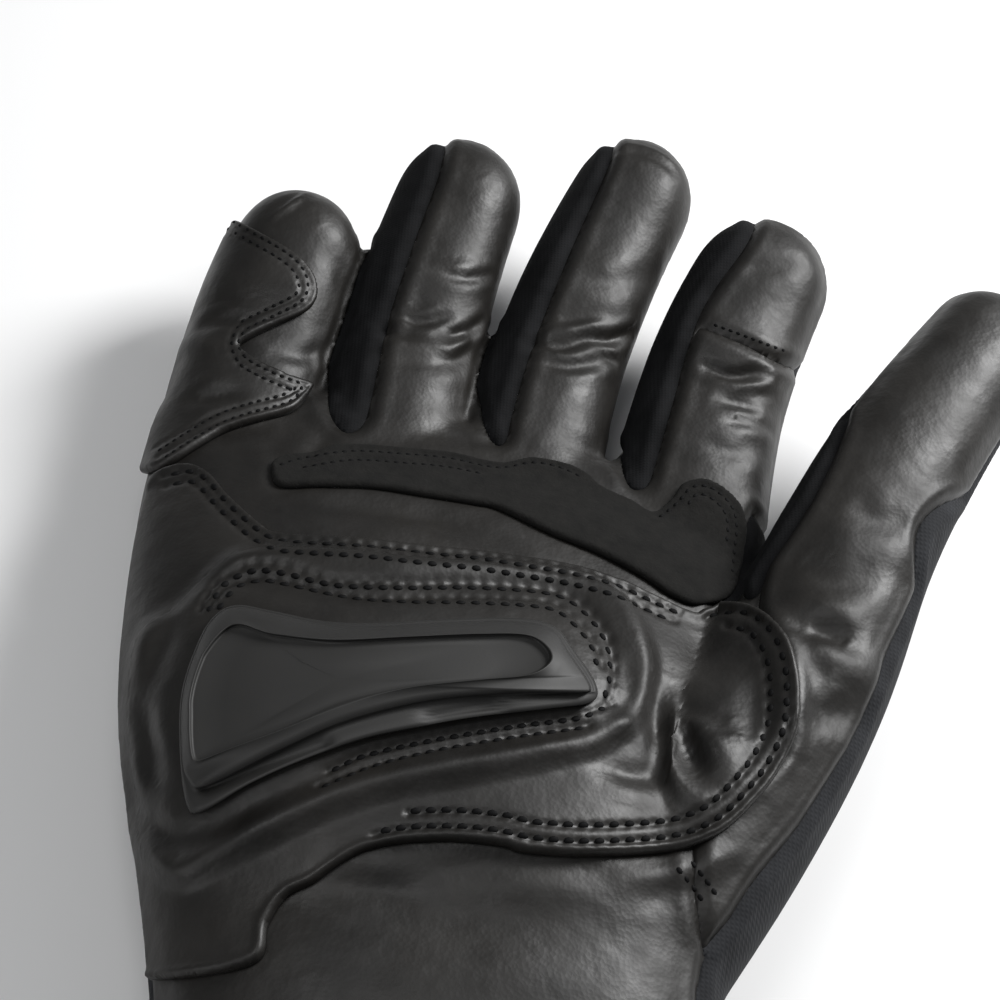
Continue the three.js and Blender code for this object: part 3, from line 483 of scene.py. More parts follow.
# the panels, cut along their seams
panelNames = [
    "outside", "cuff", "back_panel", "palm_leather", "thumb_leather", "thumb_gusset", "index_touch_tip",
    "fourchette_little_ring", "fourchette_ring_middle", "fourchette_middle_index",
]
panelOf = {name: i for i, name in enumerate(panelNames)}
seamPlaces = {
    "fingerHold": 1.35,  # how far from a finger's axis it owns the surface, in its half widths
    "stripStart": 12.0,
    "stripEnd": 0.96,
    "stripTaper": 0.1,
    "tipTaperStart": 0.86,
    "tipTaper": 0.08,
    "lowHeight": 12.0,
    "outerTurn": -4.0,
    "gussetStart": 0.46,
    "gussetEnd": 0.92,
    "crotchHeight": 11.0,
    "stripShifts": (0, 18, 36),  # points of the picture
    "gussetShifts": (0, 12, 24),
}
seenPanels = {  # panel edges, as points of the picture
    "fourchette_little_ring": [
        (440, 120), (440, 165), (410, 250), (385, 330), (370, 400), (362, 424), (346, 430), (332, 415),
        (328, 390), (331, 330), (341, 280), (354, 240), (396, 140)],
    "fourchette_ring_middle": [
        (606, 120), (610, 155), (565, 260), (530, 350), (512, 410), (506, 436), (498, 442), (486, 430),
        (478, 400), (477, 345), (496, 280), (534, 210), (568, 160)],
    "fourchette_middle_index": [
        (750, 200), (750, 235), (700, 310), (672, 400), (655, 460), (648, 482), (640, 488), (628, 480),
        (617, 440), (617, 400), (635, 340), (685, 262), (720, 220)],
    "thumb_gusset": [
        (845, 412), (838, 440), (815, 490), (790, 530), (768, 562), (756, 592), (740, 592), (742, 545),
        (766, 492), (796, 440), (826, 410)],
    "index_touch_tip": [
        (640, 60), (680, 316), (703, 326), (745, 343), (790, 366), (850, 380), (950, 60)],
    "back_panel": [
        (960, 500), (915, 600), (880, 680), (850, 760), (800, 830), (745, 900), (700, 990), (640, 1150),
        (1300, 1150), (1300, 500)],
}
seenPanels = {name: smoothLine(knots, 4, True) for name, knots in seenPanels.items()}


def insideShifted(polygon, spots, shifts):
    return sum(insideOf(polygon, spots + [shift, 0]) for shift in shifts) > 0


def panelAt(p):
    x, y, z = p.T
    reach = np.where(y < 0, y / hand["wristReach"], y / hand["knuckleReach"])
    left = along(sideSeamRows, "reach", "left", reach) * hand["midHeight"]
    right = along(sideSeamRows, "reach", "right", reach) * palmThick
    line = left + (right - left) * np.clip((x + 0.2 * palmWide) / (0.4 * palmWide), 0, 1)
    found = np.where(z > line, panelOf["palm_leather"], panelOf["back_panel"])

    # fingers
    nearest = np.full(len(p), seamPlaces["fingerHold"])
    owner, station = np.full(len(p), -1), np.full(len(p), -30.0)
    for i, finger in enumerate(fingerList):
        close = np.where((y > finger.y * palmLong - 12) & (np.abs(x - finger.x * palmWide) < 60))[0]
        s, a, h = finger.local(p[close])
        wide, above, below = finger.halves(s)
        norm = np.hypot(a / wide, h / np.where(h > 0, above, below))
        on = (s > -6) & (norm < nearest[close])
        close, s, a, h, wide, above, below, norm = (v[on] for v in (close, s, a, h, wide, above, below, norm))
        nearest[close], owner[close], station[close] = norm, i, s
        share = np.minimum(s / finger.length, 0.93)

        def place(side, turn):
            angle = np.radians(turn)
            return side * np.cos(angle) * wide, np.sin(angle) * np.where(angle > 0, above, below)

        turn = {k: along(stripRows, "along", k, share) for k in stripRows if k != "along"}
        outer = np.full(len(s), seamPlaces["outerTurn"])
        if i == 0:
            turn["leftTop"] = turn["leftBottom"] = outer
        if i == 3:
            turn["rightTop"] = turn["rightBottom"] = outer
        edge = []
        for level in ("Top", "Bottom"):
            (xl, hl), (xr, hr) = place(-1, turn["left" + level]), place(1, turn["right" + level])
            edge.append(hl + (a - xl) / (xr - xl) * (hr - hl))
        top, bottom = edge
        middle = (top + bottom) / 2
        closing = (seamPlaces["stripEnd"] - s / finger.length) / seamPlaces["stripTaper"]
        closing = np.sqrt(np.clip(closing, 0, 1))
        between = np.abs(h - middle) < (top - bottom) / 2 * closing
        taper = np.clip((s / finger.length - seamPlaces["tipTaperStart"]) / seamPlaces["tipTaper"], 0, 1)
        rise = np.clip(a / wide / 0.6 + 1, 0, 1) * taper
        low = bottom + (middle - bottom) * rise * rise * (3 - 2 * rise)
        level = np.where((a < 0) & (i > 0), low, middle)
        label = np.where(h > level, panelOf["palm_leather"], panelOf["back_panel"])
        spot = seen(p[close])
        if i == 3:
            tip = (label == panelOf["palm_leather"]) & insideOf(seenPanels["index_touch_tip"], spot)
            label = np.where(tip, panelOf["index_touch_tip"], label)
        firstStrip = panelOf["fourchette_little_ring"]
        pastRoot = (s > seamPlaces["stripStart"]) | (z[close] < seamPlaces["lowHeight"])

        def clearOf(outline):
            return pastRoot | insideOf(outline, spot)

        if i > 0:
            outline = seenPanels[panelNames[firstStrip + i - 1]]
            shown = insideShifted(outline, spot, seamPlaces["stripShifts"])
            strip = (a < 0) & (h > low) & (shown | ((h <= 0) & between))
            strip &= clearOf(outline)
            label = np.where(strip, firstStrip + i - 1, label)
        if i < 3:
            clear = clearOf(seenPanels[panelNames[firstStrip + i]])
            label = np.where(between & (a >= 0) & clear, firstStrip + i, label)
        found[close] = label
    for i in range(3):
        a, b = fingerList[i], fingerList[i + 1]
        crotchY = (a.y + b.y) / 2 * palmLong
        block = (x > a.x * palmWide) & (x < b.x * palmWide) & (y > crotchY - 10) & (y < crotchY + 6)
        block &= (z > hand["rootHeight"] - seamPlaces["crotchHeight"] / 2) & (z < 13)
        found[block] = panelOf["fourchette_little_ring"] + i
    spot = seen(p)
    for i, name in enumerate(panelNames[-3:]):
        beyond = (owner == i + 1) | (station < 9)
        upper = (z > seamPlaces["lowHeight"]) & (y > 35)
        found[insideOf(seenPanels[name], spot) & upper & beyond] = panelOf[name]

    # thumb
    ballSeam = along(thumbBallSeam, "y", "x", y / palmLong) * palmWide
    beside = np.where((x > ballSeam) & (y > -0.76 * palmLong))[0]
    steps = np.linspace(0, 1, 161)
    places, (ahead, side, up) = thumbPlace(steps), thumbAxes(steps)
    q = p[beside]
    chunks = np.array_split(q, max(len(q) // 4000, 1))
    pick = np.concatenate([((chunk[:, None, :] - places[None]) ** 2).sum(2).argmin(1) for chunk in chunks])
    t = steps[pick]
    across = ((q - places[pick]) * side[pick]).sum(1)
    half = along(thumbRows, "at", "wide", t) * palmWide * 0.5 + 2
    seam = {k: along(thumbRows, "at", k, t) * palmThick for k in ("leftTop", "leftBottom", "right")}
    toRight = np.clip((across + half) / (1.2 * half), 0, 1)
    top = seam["leftTop"] + (seam["right"] - seam["leftTop"]) * toRight
    bottom = seam["leftBottom"] + (seam["right"] - seam["leftBottom"]) * toRight
    label = np.where(q[:, 2] > (top + bottom) / 2, panelOf["thumb_leather"], panelOf["back_panel"])
    inGusset = (q[:, 2] < top) & (q[:, 2] > bottom) & (across < 0)
    inGusset &= (t > seamPlaces["gussetStart"]) & (t < seamPlaces["gussetEnd"])
    outline = seenPanels["thumb_gusset"]
    shown = insideShifted(outline, spot[beside], seamPlaces["gussetShifts"])
    inGusset |= shown & (across < 0) & (q[:, 2] > bottom)
    found[beside] = np.where(inGusset, panelOf["thumb_gusset"], label)
    block = (x > 0.39 * palmWide) & (x < 0.56 * palmWide) & (y > 0.12 * palmLong) & (y < 0.34 * palmLong)
    block &= (z > 0.36 * palmThick) & (z < 0.7 * palmThick)
    high = (x > 0.36 * palmWide) & (z > seamPlaces["lowHeight"]) & (owner != 3)
    found[block | (insideOf(outline, spot) & high)] = panelOf["thumb_gusset"]

    backSeen = insideOf(seenPanels["back_panel"], spot) & (x > 40)
    found[backSeen & (found != panelOf["thumb_gusset"])] = panelOf["back_panel"]
    found[y < -hand["wristReach"]] = panelOf["cuff"]
    found[y < cuffEnd] = panelOf["outside"]
    return found


def splitByLabel(points, tris, labelOf):
    # cuts the triangles that lie on more than one label along the line between them
    label = labelOf(points)
    edges = edgesOf(tris)
    crossing = edges[label[edges[:, 0]] != label[edges[:, 1]]]
    a, b = points[crossing[:, 0]], points[crossing[:, 1]]
    low, high = np.zeros(len(crossing)), np.ones(len(crossing))
    for _ in range(9):
        mid = (low + high) / 2
        same = labelOf(a + (b - a) * mid[:, None]) == label[crossing[:, 0]]
        low, high = np.where(same, mid, low), np.where(same, high, mid)
    cut = np.clip((low + high) / 2, 0.04, 0.96)[:, None]
    fresh = a + (b - a) * cut
    weights = np.stack([crossing[:, 0], crossing[:, 1]], 1), np.hstack([1 - cut, cut])
    number = {(int(u), int(v)): len(points) + i for i, (u, v) in enumerate(crossing)}
    corner = label[tris]
    plain = (corner[:, 0] == corner[:, 1]) & (corner[:, 1] == corner[:, 2])
    outTris, outLabels, centres, centreOf = [tris[plain]], [corner[plain, 0]], [], []
    made, madeLabels = [], []
    nextPoint = len(points) + len(crossing)

    def on(u, v):
        return number[(u, v) if u < v else (v, u)]

    for u, v, w in tris[~plain].tolist():
        if label[u] == label[v]:
            u, v, w = w, u, v
        elif label[u] == label[w]:
            u, v, w = v, w, u
        if label[v] == label[w]:  # u is alone
            uv, uw = on(u, v), on(u, w)
            made += [(u, uv, uw), (uv, v, w), (uv, w, uw)]
            madeLabels += [label[u], label[v], label[v]]
        else:
            uv, vw, wu = on(u, v), on(v, w), on(w, u)
            centre = nextPoint + len(centres)
            centres.append((points[u] + points[v] + points[w]) / 3)
            centreOf.append((u, v, w))
            for one, first, last in ((u, uv, wu), (v, vw, uv), (w, wu, vw)):
                made += [(one, first, centre), (one, centre, last)]
                madeLabels += [label[one]] * 2
    if made:
        outTris.append(np.array(made))
        outLabels.append(np.array(madeLabels))
    allPoints = np.vstack([points, fresh, np.array(centres).reshape(-1, 3)])
    centreOf = np.array(centreOf, int).reshape(-1, 3)
    return allPoints, np.vstack(outTris), np.concatenate(outLabels), weights, centreOf


def carried(values, weights, centreOf):  # per-point values brought along to the cut points
    pairs, share = weights
    rows = [values, (values[pairs] * share[..., None]).sum(1)]
    if len(centreOf):
        rows.append(values[centreOf].mean(1))
    return np.vstack(rows)


points, tris, labels, weights, centreOf = splitByLabel(formPoints, formTris, panelAt)
normals = unit(carried(formNormals, weights, centreOf))
kept = labels > 0
tris, labels = tris[kept], labels[kept]
print("panels:", {panelNames[i]: int((labels == i).sum()) for i in np.unique(labels)})


def seamPoints(tris, labels):  # the points that lie between two labels
    first = np.full(tris.max() + 1, 99)
    last = np.full(tris.max() + 1, -1)
    for k in range(3):
        np.minimum.at(first, tris[:, k], labels)
        np.maximum.at(last, tris[:, k], labels)
    return np.where((last >= 0) & (first != last))[0]


def treeOf(places):
    tree = kdtree.KDTree(len(places))
    for i, place in enumerate(places):
        tree.insert(place, i)
    tree.balance()
    return tree


def distanceTo(targets, places, reach):
    tree = treeOf(targets)
    return np.array([min(tree.find(place)[2], reach) for place in places])


# folds and creases, as points of the picture: points, depth and half width in millimetres
creases = {
    "scale": 1.0,
    "lines": [
        ([(440, 272), (466, 278), (494, 275)], 0.6, 1.1),
        ([(377, 323), (396, 332), (416, 336)], 0.8, 1.3),
        ([(394, 314), (420, 322), (446, 318)], 0.9, 1.1),
        ([(441, 331), (462, 334), (484, 320)], 1.0, 1.1),
        ([(437, 345), (450, 350), (463, 341), (470, 328)], -0.7, 1.0),
        ([(372, 352), (410, 360), (450, 362), (482, 350)], 0.5, 1.8),
        ([(404, 268), (398, 300), (392, 330)], -0.4, 2.0),
        ([(528, 341), (560, 346), (587, 341)], 1.2, 1.3),
        ([(580, 336), (608, 340), (636, 330)], 1.2, 1.2),
        ([(534, 358), (572, 366), (612, 360)], 0.8, 1.3),
        ([(545, 328), (575, 330), (604, 322)], -0.7, 1.2),
        ([(598, 352), (616, 362), (630, 358)], 0.7, 0.9),
        ([(600, 376), (626, 370)], 0.7, 0.9),
        ([(596, 396), (622, 391)], 0.6, 0.9),
        ([(590, 416), (616, 411)], 0.5, 0.9),
        ([(570, 270), (610, 282), (652, 274)], 0.5, 2.4),
        ([(700, 362), (732, 376), (764, 370)], 1.0, 1.2),
        ([(716, 380), (748, 386), (778, 384)], -0.6, 1.1),
        ([(722, 400), (756, 410), (792, 404)], 0.9, 1.2),
        ([(730, 422), (772, 430)], 0.6, 1.1),
        ([(700, 440), (730, 452), (764, 448)], 0.4, 1.8),
        ([(620, 150), (655, 158), (676, 176)], 0.6, 1.1),
        ([(740, 262), (768, 268), (800, 262)], 0.4, 2.0),
        ([(272, 218), (292, 204), (310, 193)], -0.5, 0.7),
        ([(180, 318), (214, 328), (246, 326)], 0.8, 1.5),
        ([(168, 396), (200, 404), (236, 398)], 0.9, 1.6),
        ([(190, 350), (222, 356)], -0.5, 1.8),
        ([(270, 350), (300, 356), (332, 348)], 0.5, 1.6),
        ([(322, 240), (345, 300), (340, 360)], 0.4, 2.0),
        ([(704, 640), (716, 690), (728, 745)], 1.2, 4.0),
        ([(736, 648), (752, 690), (746, 745)], 2.0, 4.0),
        ([(768, 622), (786, 660), (788, 712), (770, 756)], -1.2, 2.2),
        ([(652, 700), (655, 730), (660, 762)], 1.0, 1.8),
        ([(664, 712), (670, 745), (678, 788), (702, 812)], -1.4, 2.0),
        ([(680, 730), (700, 732), (708, 746)], -0.8, 1.6),
        ([(688, 752), (698, 768), (706, 780)], 1.2, 2.2),
        ([(560, 725), (610, 732), (645, 752)], -0.8, 2.2),
        ([(600, 772), (632, 780), (656, 776)], 0.9, 2.0),
        ([(806, 625), (830, 632), (850, 645)], 1.8, 2.4),
        ([(806, 650), (845, 662), (883, 695)], -0.9, 4.0),
        ([(800, 560), (840, 580), (880, 572)], 0.8, 3.0),
        ([(850, 500), (880, 520), (910, 516)], 0.7, 3.0),
        ([(815, 720), (850, 712)], 0.8, 2.4),
        ([(420, 872), (520, 862), (620, 876)], 0.7, 2.2),
        ([(330, 884), (420, 894)], 0.7, 2.2),
        ([(610, 880), (690, 868), (740, 850)], -0.7, 2.0),
        ([(150, 700), (160, 750), (172, 792)], 0.9, 1.8),
        ([(138, 740), (146, 800), (176, 850)], 1.0, 2.0),
        ([(300, 505), (420, 515), (520, 545)], 0.7, 2.6),
        ([(330, 430), (308, 460), (300, 480)], 0.6, 1.8),
        ([(420, 430), (470, 440), (520, 438)], 0.5, 2.0),
        ([(560, 440), (600, 458), (640, 480)], 0.5, 2.0),
        ([(250, 500), (262, 470), (250, 440)], -0.5, 2.4),
    ],
}


def onForm(px, py):
    hit = castPicture(formTree, px, py)
    return None if hit is None else hit[0]


def creaseLift(places):
    lift = np.zeros(len(places))
    for knots, depth, half in creases["lines"]:
        found = [hit for hit in (onForm(*k) for k in knots) if hit is not None]
        if len(found) < 2:
            print("crease off the form:", knots)
            continue
        line = smoothLine(found)
        low, high = line.min(0) - 3 * half, line.max(0) + 3 * half
        near = np.where(((places > low) & (places < high)).all(1))[0]
        if not len(near):
            continue
        far = ((places[near][:, None, :] - line[None]) ** 2).sum(2)
        pick = far.argmin(1)
        d = np.sqrt(far[np.arange(len(near)), pick])
        taper = np.sin(np.clip((pick + 1) / (len(line) + 1), 0.02, 0.98) * math.pi) ** 0.6
        shape = np.exp(-((d / half) ** 2)) - 0.3 * np.exp(-(((d - 2 * half) / half) ** 2))
        lift[near] -= depth * creases["scale"] * taper * shape
    return lift


lift = creaseLift(points)
seam = seamPoints(tris, labels)
groove = {
    "depth": 0.85, "half": 1.1, "shoulder": 0.3, "shoulderPlace": 2.6, "shoulderHalf": 1.2, "reach": 6.0,
    "crevice": 0.06,
}
seamFar = distanceTo(points[seam], points, groove["reach"])
seamDip = -groove["depth"] * np.exp(-((seamFar / groove["half"]) ** 2))
seamDip += groove["shoulder"] * np.exp(-(((seamFar - groove["shoulderPlace"]) / groove["shoulderHalf"]) ** 2))
hollow = ((smoothed(points, edgesOf(tris), 3) - points) * normals).sum(1)
seamDip *= np.clip(1 - hollow / groove["crevice"], 0, 1)  # none in the crevices between fingers
flat = np.clip(points[:, 2] / 4, 0, 1)  # the face that the glove rests on stays flat
skinPoints = points + normals * ((lift + seamDip) * flat)[:, None]
print("creases done")


def submesh(tris, *values):
    used, inverse = np.unique(tris, return_inverse=True)
    return inverse.reshape(-1, 3), [v[used] for v in values]


def walled(name, outer, inner, tris):
    # a closed piece between an outer and an inner surface that share their triangles
    rim = rimOf(tris)
    n = len(outer)
    sides = np.vstack([np.stack([rim[:, 1], rim[:, 0], rim[:, 0] + n], 1),
                       np.stack([rim[:, 1], rim[:, 0] + n, rim[:, 1] + n], 1)])
    faces = np.vstack([tris, tris[:, ::-1] + n, sides])
    return meshObject(name, np.vstack([outer, inner]), faces)


pieces = {}
innerNormals = unit(smoothed(normals, edgesOf(tris), 6))
for name in panelNames[1:]:
    mine = labels == panelOf[name]
    sub, (outer, base, inward) = submesh(tris[mine], skinPoints, points, innerNormals)
    inner = base - inward * hand["wall"] * 0.9
    pieces[name] = walled(name + "_look", outer, inner, sub)
print("panels made")

# Second layers, sewn on: their outlines and rows of stitches, as points of the picture
outlines = {
    "overlay": [
        (143, 484), (166, 468), (191, 463), (212, 473), (232, 496), (263, 524), (278, 532), (314, 535),
        (365, 538), (426, 545), (477, 550), (528, 558), (574, 566), (620, 578), (650, 592), (690, 610),
        (704, 606), (740, 601), (765, 609), (786, 634), (796, 665), (798, 700), (793, 736), (775, 772),
        (755, 797), (735, 818), (714, 833), (679, 846), (628, 851), (577, 852), (525, 848), (503, 842),
        (452, 837), (401, 839), (365, 847), (339, 861), (314, 879), (288, 893), (270, 920), (255, 960),
        (160, 975), (90, 960), (80, 700), (90, 500)],
    "pad": [
        (150, 640), (180, 610), (215, 575), (250, 556), (324, 552), (406, 562), (477, 565), (549, 570),
        (600, 585), (632, 620), (645, 665), (635, 712), (600, 745), (520, 768), (440, 782), (360, 800),
        (290, 828), (235, 856), (190, 880), (160, 850), (145, 780), (143, 700)],
    "skirt": [
        (197, 644), (214, 616), (237, 605), (273, 611), (324, 621), (375, 623), (447, 619), (518, 618),
        (554, 626), (574, 650), (596, 684), (592, 702), (554, 708), (477, 717), (426, 726), (365, 739),
        (299, 762), (248, 785), (202, 812), (187, 806), (180, 757), (181, 695)],
    "rim": [
        (190, 655), (211, 621), (236, 608), (273, 614), (324, 625), (375, 627), (447, 623), (516, 622),
        (551, 630), (569, 654), (590, 688), (572, 692), (508, 693), (427, 701), (345, 722), (276, 752),
        (206, 786), (190, 780), (183, 757), (183, 695)],
    "face": [
        (194, 672), (230, 626), (273, 634), (334, 640), (406, 637), (477, 634), (526, 635), (547, 647),
        (550, 662), (528, 675), (477, 680), (406, 688), (344, 704), (283, 729), (232, 748), (200, 760),
        (192, 754), (190, 716)],
    "grip": [
        (272, 470), (276, 460), (299, 453), (350, 445), (406, 448), (450, 452), (500, 462), (531, 456),
        (561, 461), (587, 473), (602, 486), (633, 501), (653, 512), (673, 497), (684, 482), (704, 477),
        (724, 486), (740, 504), (745, 527), (742, 552), (740, 578), (728, 596), (704, 602), (689, 602),
        (668, 592), (643, 575), (602, 553), (551, 532), (500, 508), (477, 503), (426, 495), (375, 487),
        (324, 485), (280, 484)],
    "guard": [
        (225, 212), (232, 213), (261, 229), (300, 254), (315, 280), (309, 304), (279, 321), (249, 336),
        (241, 344), (261, 359), (290, 372), (309, 380), (306, 396), (291, 409), (261, 417), (227, 428),
        (197, 445), (167, 464), (144, 470), (90, 480), (70, 330), (120, 200)],
}
sewn = {
    "insets": [  # outline, first and last of its points, how far inside it in picture points, and pitch
        ("overlay", 1, 15, 8, 2.6), ("overlay", 1, 15, 18, 2.6),
        ("overlay", 16, 34, 11, 2.7), ("overlay", 17, 33, 27, 2.7),
        ("grip", 1, 9, 6, 1.6), ("grip", 2, 6, 15, 1.6), ("grip", 12, 20, 8, 1.6), ("grip", 13, 19, 17, 1.6),
        ("guard", 1, 17, 7, 1.5), ("guard", 1, 17, 16, 1.5),
    ],
    "free": [  # pitch, and points of the picture
        (2.6, [(207, 616), (212, 604), (225, 584), (253, 571), (283, 573), (314, 581), (344, 586), (406, 588),
               (477, 588), (549, 594), (580, 609), (604, 639), (610, 672), (602, 706)]),
        (2.6, [(216, 612), (236, 588), (262, 581), (288, 585), (350, 598), (406, 602), (477, 603), (546, 608),
               (570, 621), (591, 646), (598, 672)]),
        (2.4, [(330, 772), (365, 756), (426, 742), (477, 733), (528, 725), (579, 718), (608, 706)]),
        (2.4, [(320, 788), (372, 767), (430, 752), (480, 743), (532, 735), (586, 728)]),
        (1.4, [(712, 324), (748, 337), (788, 352)]),
        (2.0, [(690, 860), (706, 880), (720, 900)]),
        (2.0, [(676, 866), (692, 886), (706, 906)]),
    ],
    "pixelsPerMm": 5.7,
    "rowStep": 2,
    "fullPitch": 2.7,  # of the rows with the largest stitches
}
outlineOf = {name: smoothLine(knots, 2.5, True) for name, knots in outlines.items()}


def evened(values, times=3):
    for _ in range(times):
        values[1:-1] = (values[:-2] + 2 * values[1:-1] + values[2:]) / 4
    return values


def insetLine(name, first, last, by):
    line = smoothLine(outlines[name][first:last + 1], 3)
    ahead = unit(np.gradient(line, axis=0))
    across = np.stack([-ahead[:, 1], ahead[:, 0]], 1)
    inward = 1 if insideOf(outlineOf[name], line + across * 4).mean() > 0.5 else -1
    return smoothLine(evened(line + across * by * inward, 8)[::4], sewn["rowStep"])


rows = [(insetLine(*row[:4]), row[4]) for row in sewn["insets"]]
rows += [(smoothLine(knots, sewn["rowStep"]), pitch) for pitch, knots in sewn["free"]]


def rowLength(row):  # the millimetres from its start, at each of its points
    return np.arange(len(row)) * sewn["rowStep"] / sewn["pixelsPerMm"]


rowWay = np.concatenate([rowLength(row) / pitch for row, pitch in rows])
rowPitch = np.concatenate([np.full(len(row), pitch) for row, pitch in rows])
rowTree = treeOf([(x, y, 0) for row, pitch in rows for x, y in row])


def rowDip(spots):  # how the thread draws the leather in, deepest at its holes
    found = [rowTree.find((x, y, 0)) for x, y in spots]
    far = np.array([hit[2] for hit in found]) / sewn["pixelsPerMm"]
    at = [hit[1] for hit in found]
    size = rowPitch[at] / sewn["fullPitch"]
    holes = 0.78 + 0.22 * np.cos(2 * math.pi * rowWay[at])
    return -layers["stitchDip"] * size * holes * np.exp(-((far / (0.68 * size)) ** 2))


def edgeDistance(name, spots):  # from an outline in about millimetres, positive inside it
    tree = treeOf([(x, y, 0) for x, y in outlineOf[name]])
    far = np.array([tree.find((x, y, 0))[2] for x, y in spots]) / sewn["pixelsPerMm"]
    return np.where(insideOf(outlineOf[name], spots), far, -far)


def finer(points, tris, *values):  # each triangle in four
    edges = edgesOf(tris)
    number = {(int(u), int(v)): len(points) + i for i, (u, v) in enumerate(edges)}
    mids = np.empty((len(tris), 3), np.int64)
    for k, (a, b) in enumerate(((0, 1), (1, 2), (2, 0))):
        pair = np.sort(tris[:, [a, b]], axis=1)
        mids[:, k] = [number[(u, v)] for u, v in pair.tolist()]
    m = mids
    fresh = np.vstack([
        np.stack([tris[:, 0], m[:, 0], m[:, 2]], 1), np.stack([tris[:, 1], m[:, 1], m[:, 0]], 1),
        np.stack([tris[:, 2], m[:, 2], m[:, 1]], 1), m])
    both = [np.vstack([v, (v[edges[:, 0]] + v[edges[:, 1]]) / 2]) for v in (points, *values)]
    return both[0], fresh, both[1:]


formLift = creaseLift(formPoints) * np.clip(formPoints[:, 2] / 4, 0, 1)
coverPoints = formPoints + formNormals * formLift[:, None]


def layerPatch(name, lowest, rise):  # the fine patch of the covered surface inside an outline
    polygon = outlineOf[name]
    low, high = polygon.min(0) - 15, polygon.max(0) + 15
    centre = formPoints[formTris].mean(1)
    spots = seen(centre, rise)
    near = ((spots > low) & (spots < high)).all(1) & (centre[:, 2] > lowest - 3)
    sub, (base, cover, normal) = submesh(formTris[near], formPoints, coverPoints, formNormals)
    base, sub, (cover, normal) = finer(base, sub, cover, normal)

    def label(p):
        return (insideOf(polygon, seen(p, rise)) & (p[:, 2] > lowest)).astype(int)

    base, sub, mark, weights, centreOf = splitByLabel(base, sub, label)
    cover, normal = (carried(v, weights, centreOf) for v in (cover, normal))
    sub, (base, cover, normal) = submesh(sub[mark == 1], base, cover, normal)
    return base, cover, unit(normal), sub, seen(base, rise)


def rimDistance(places, tris, reach=8.0):
    return distanceTo(places[np.unique(rimOf(tris))], places, reach)


def smoothStep(x):
    x = np.clip(x, 0, 1)
    return x * x * (3 - 2 * x)


layers = {
    "seat": 0.3,
    "leather": 1.5,
    "suede": 1.1,
    "pad": 3.2,
    "plate": 4.2,
    "plateFaceDepth": 1.1,
    "plateSkirtDepth": 2.4,
    "edgeRound": 1.0,
    "stitchDip": 0.58,
}


def edgeRounding(far):
    t = np.clip(far / layers["edgeRound"], 0, 1)
    return 0.35 + 0.65 * np.sqrt(1 - (1 - t) ** 2)


overlayShape = {
    "lowest": 25.3,
    "seenRise": 1.8,
    "turnedEdge": 0.35,
    "padSlope": 5.0,
    "padLip": 0.8,
    "channelDepth": 1.2,
    "channelPlace": 4.2,
}


def makeOverlay():
    base, cover, normal, sub, spots = layerPatch("overlay", overlayShape["lowest"], overlayShape["seenRise"])
    height = layers["leather"] * edgeRounding(rimDistance(base, sub)) + rowDip(spots)
    height += overlayShape["turnedEdge"] * np.exp(-(((edgeDistance("overlay", spots) - 0.9) / 0.8) ** 2))
    padIn = edgeDistance("pad", spots)
    height += (layers["pad"] - layers["leather"]) * smoothStep(padIn / overlayShape["padSlope"] + 0.5)
    height += overlayShape["padLip"] * np.exp(-(((padIn - 1.5) / 2.4) ** 2))
    channel = edgeDistance("skirt", spots) + overlayShape["channelPlace"]  # the sewn one round the slider
    height -= overlayShape["channelDepth"] * np.exp(-((channel / 2.6) ** 2))
    top = cover + normal * (layers["seat"] + height)[:, None]
    bottom = base + normal * layers["seat"]
    low = ((top - bottom) * normal).sum(1) < 0.4
    bottom[low] = top[low] - normal[low] * 0.4
    return walled("palm_overlay_look", top, bottom, sub)


def makeLayer(outline, name, thickness, lowest):
    base, cover, normal, sub, spots = layerPatch(outline, lowest, thickness)
    height = thickness * edgeRounding(rimDistance(base, sub)) + rowDip(spots)
    height = np.maximum(height, thickness * 0.25)
    top = cover + normal * (layers["seat"] + height)[:, None]
    bottom = cover + normal * layers["seat"] * 0.5
    return walled(name, top, bottom, sub)


pieces["palm_overlay"] = makeOverlay()
pieces["grip_bar"] = makeLayer("grip", "grip_bar_look", layers["suede"], 15.0)
pieces["little_finger_guard"] = makeLayer("guard", "little_finger_guard_look", layers["leather"], 16.5)
print("layers made")


# the moulded slider
def outlineRadii(polygon, centre, angles):
    a, b = polygon - centre, np.roll(polygon, -1, axis=0) - centre
    radii = []
    for angle in angles:
        d = np.array([math.cos(angle), math.sin(angle)])
        cross = d[0] * (b - a)[:, 1] - d[1] * (b - a)[:, 0]
        cross = np.where(np.abs(cross) < 1e-9, 1e-9, cross)
        r = (a[:, 0] * (b - a)[:, 1] - a[:, 1] * (b - a)[:, 0]) / cross
        t = (a[:, 0] * d[1] - a[:, 1] * d[0]) / cross
        good = (t >= -1e-6) & (t <= 1 + 1e-6) & (r > 0)
        radii.append(r[good].max())
    return np.array(radii)


sliderShape = {
    "middle": (330.0, 682.0),  # in the picture
    "skirtSlots": [((207, 787), (324, 744)), ((431, 718), (497, 704))],
    "slotDepth": 1.0,
    "slotHalf": 1.3,
    "baseHeight": 28.0,  # the covered surface above it gives the slider's base
    "turns": 300,
}


def slotDip(spots):
    dip = np.zeros(len(spots))
    for first, last in sliderShape["skirtSlots"]:
        a, way = np.array(first), np.array(last) - np.array(first)
        t = np.clip((spots - a) @ way / (way @ way), 0, 1)
        far = np.linalg.norm(spots - a - t[:, None] * way, axis=1) / sewn["pixelsPerMm"]
        dip += sliderShape["slotDepth"] * np.exp(-((far / sliderShape["slotHalf"]) ** 2))
    return dip


def smoothBase(x, y):  # terms of a cubic surface
    x, y = x / 50, y / 50
    return np.stack([x**i * y**j for i in range(4) for j in range(4 - i)], -1)


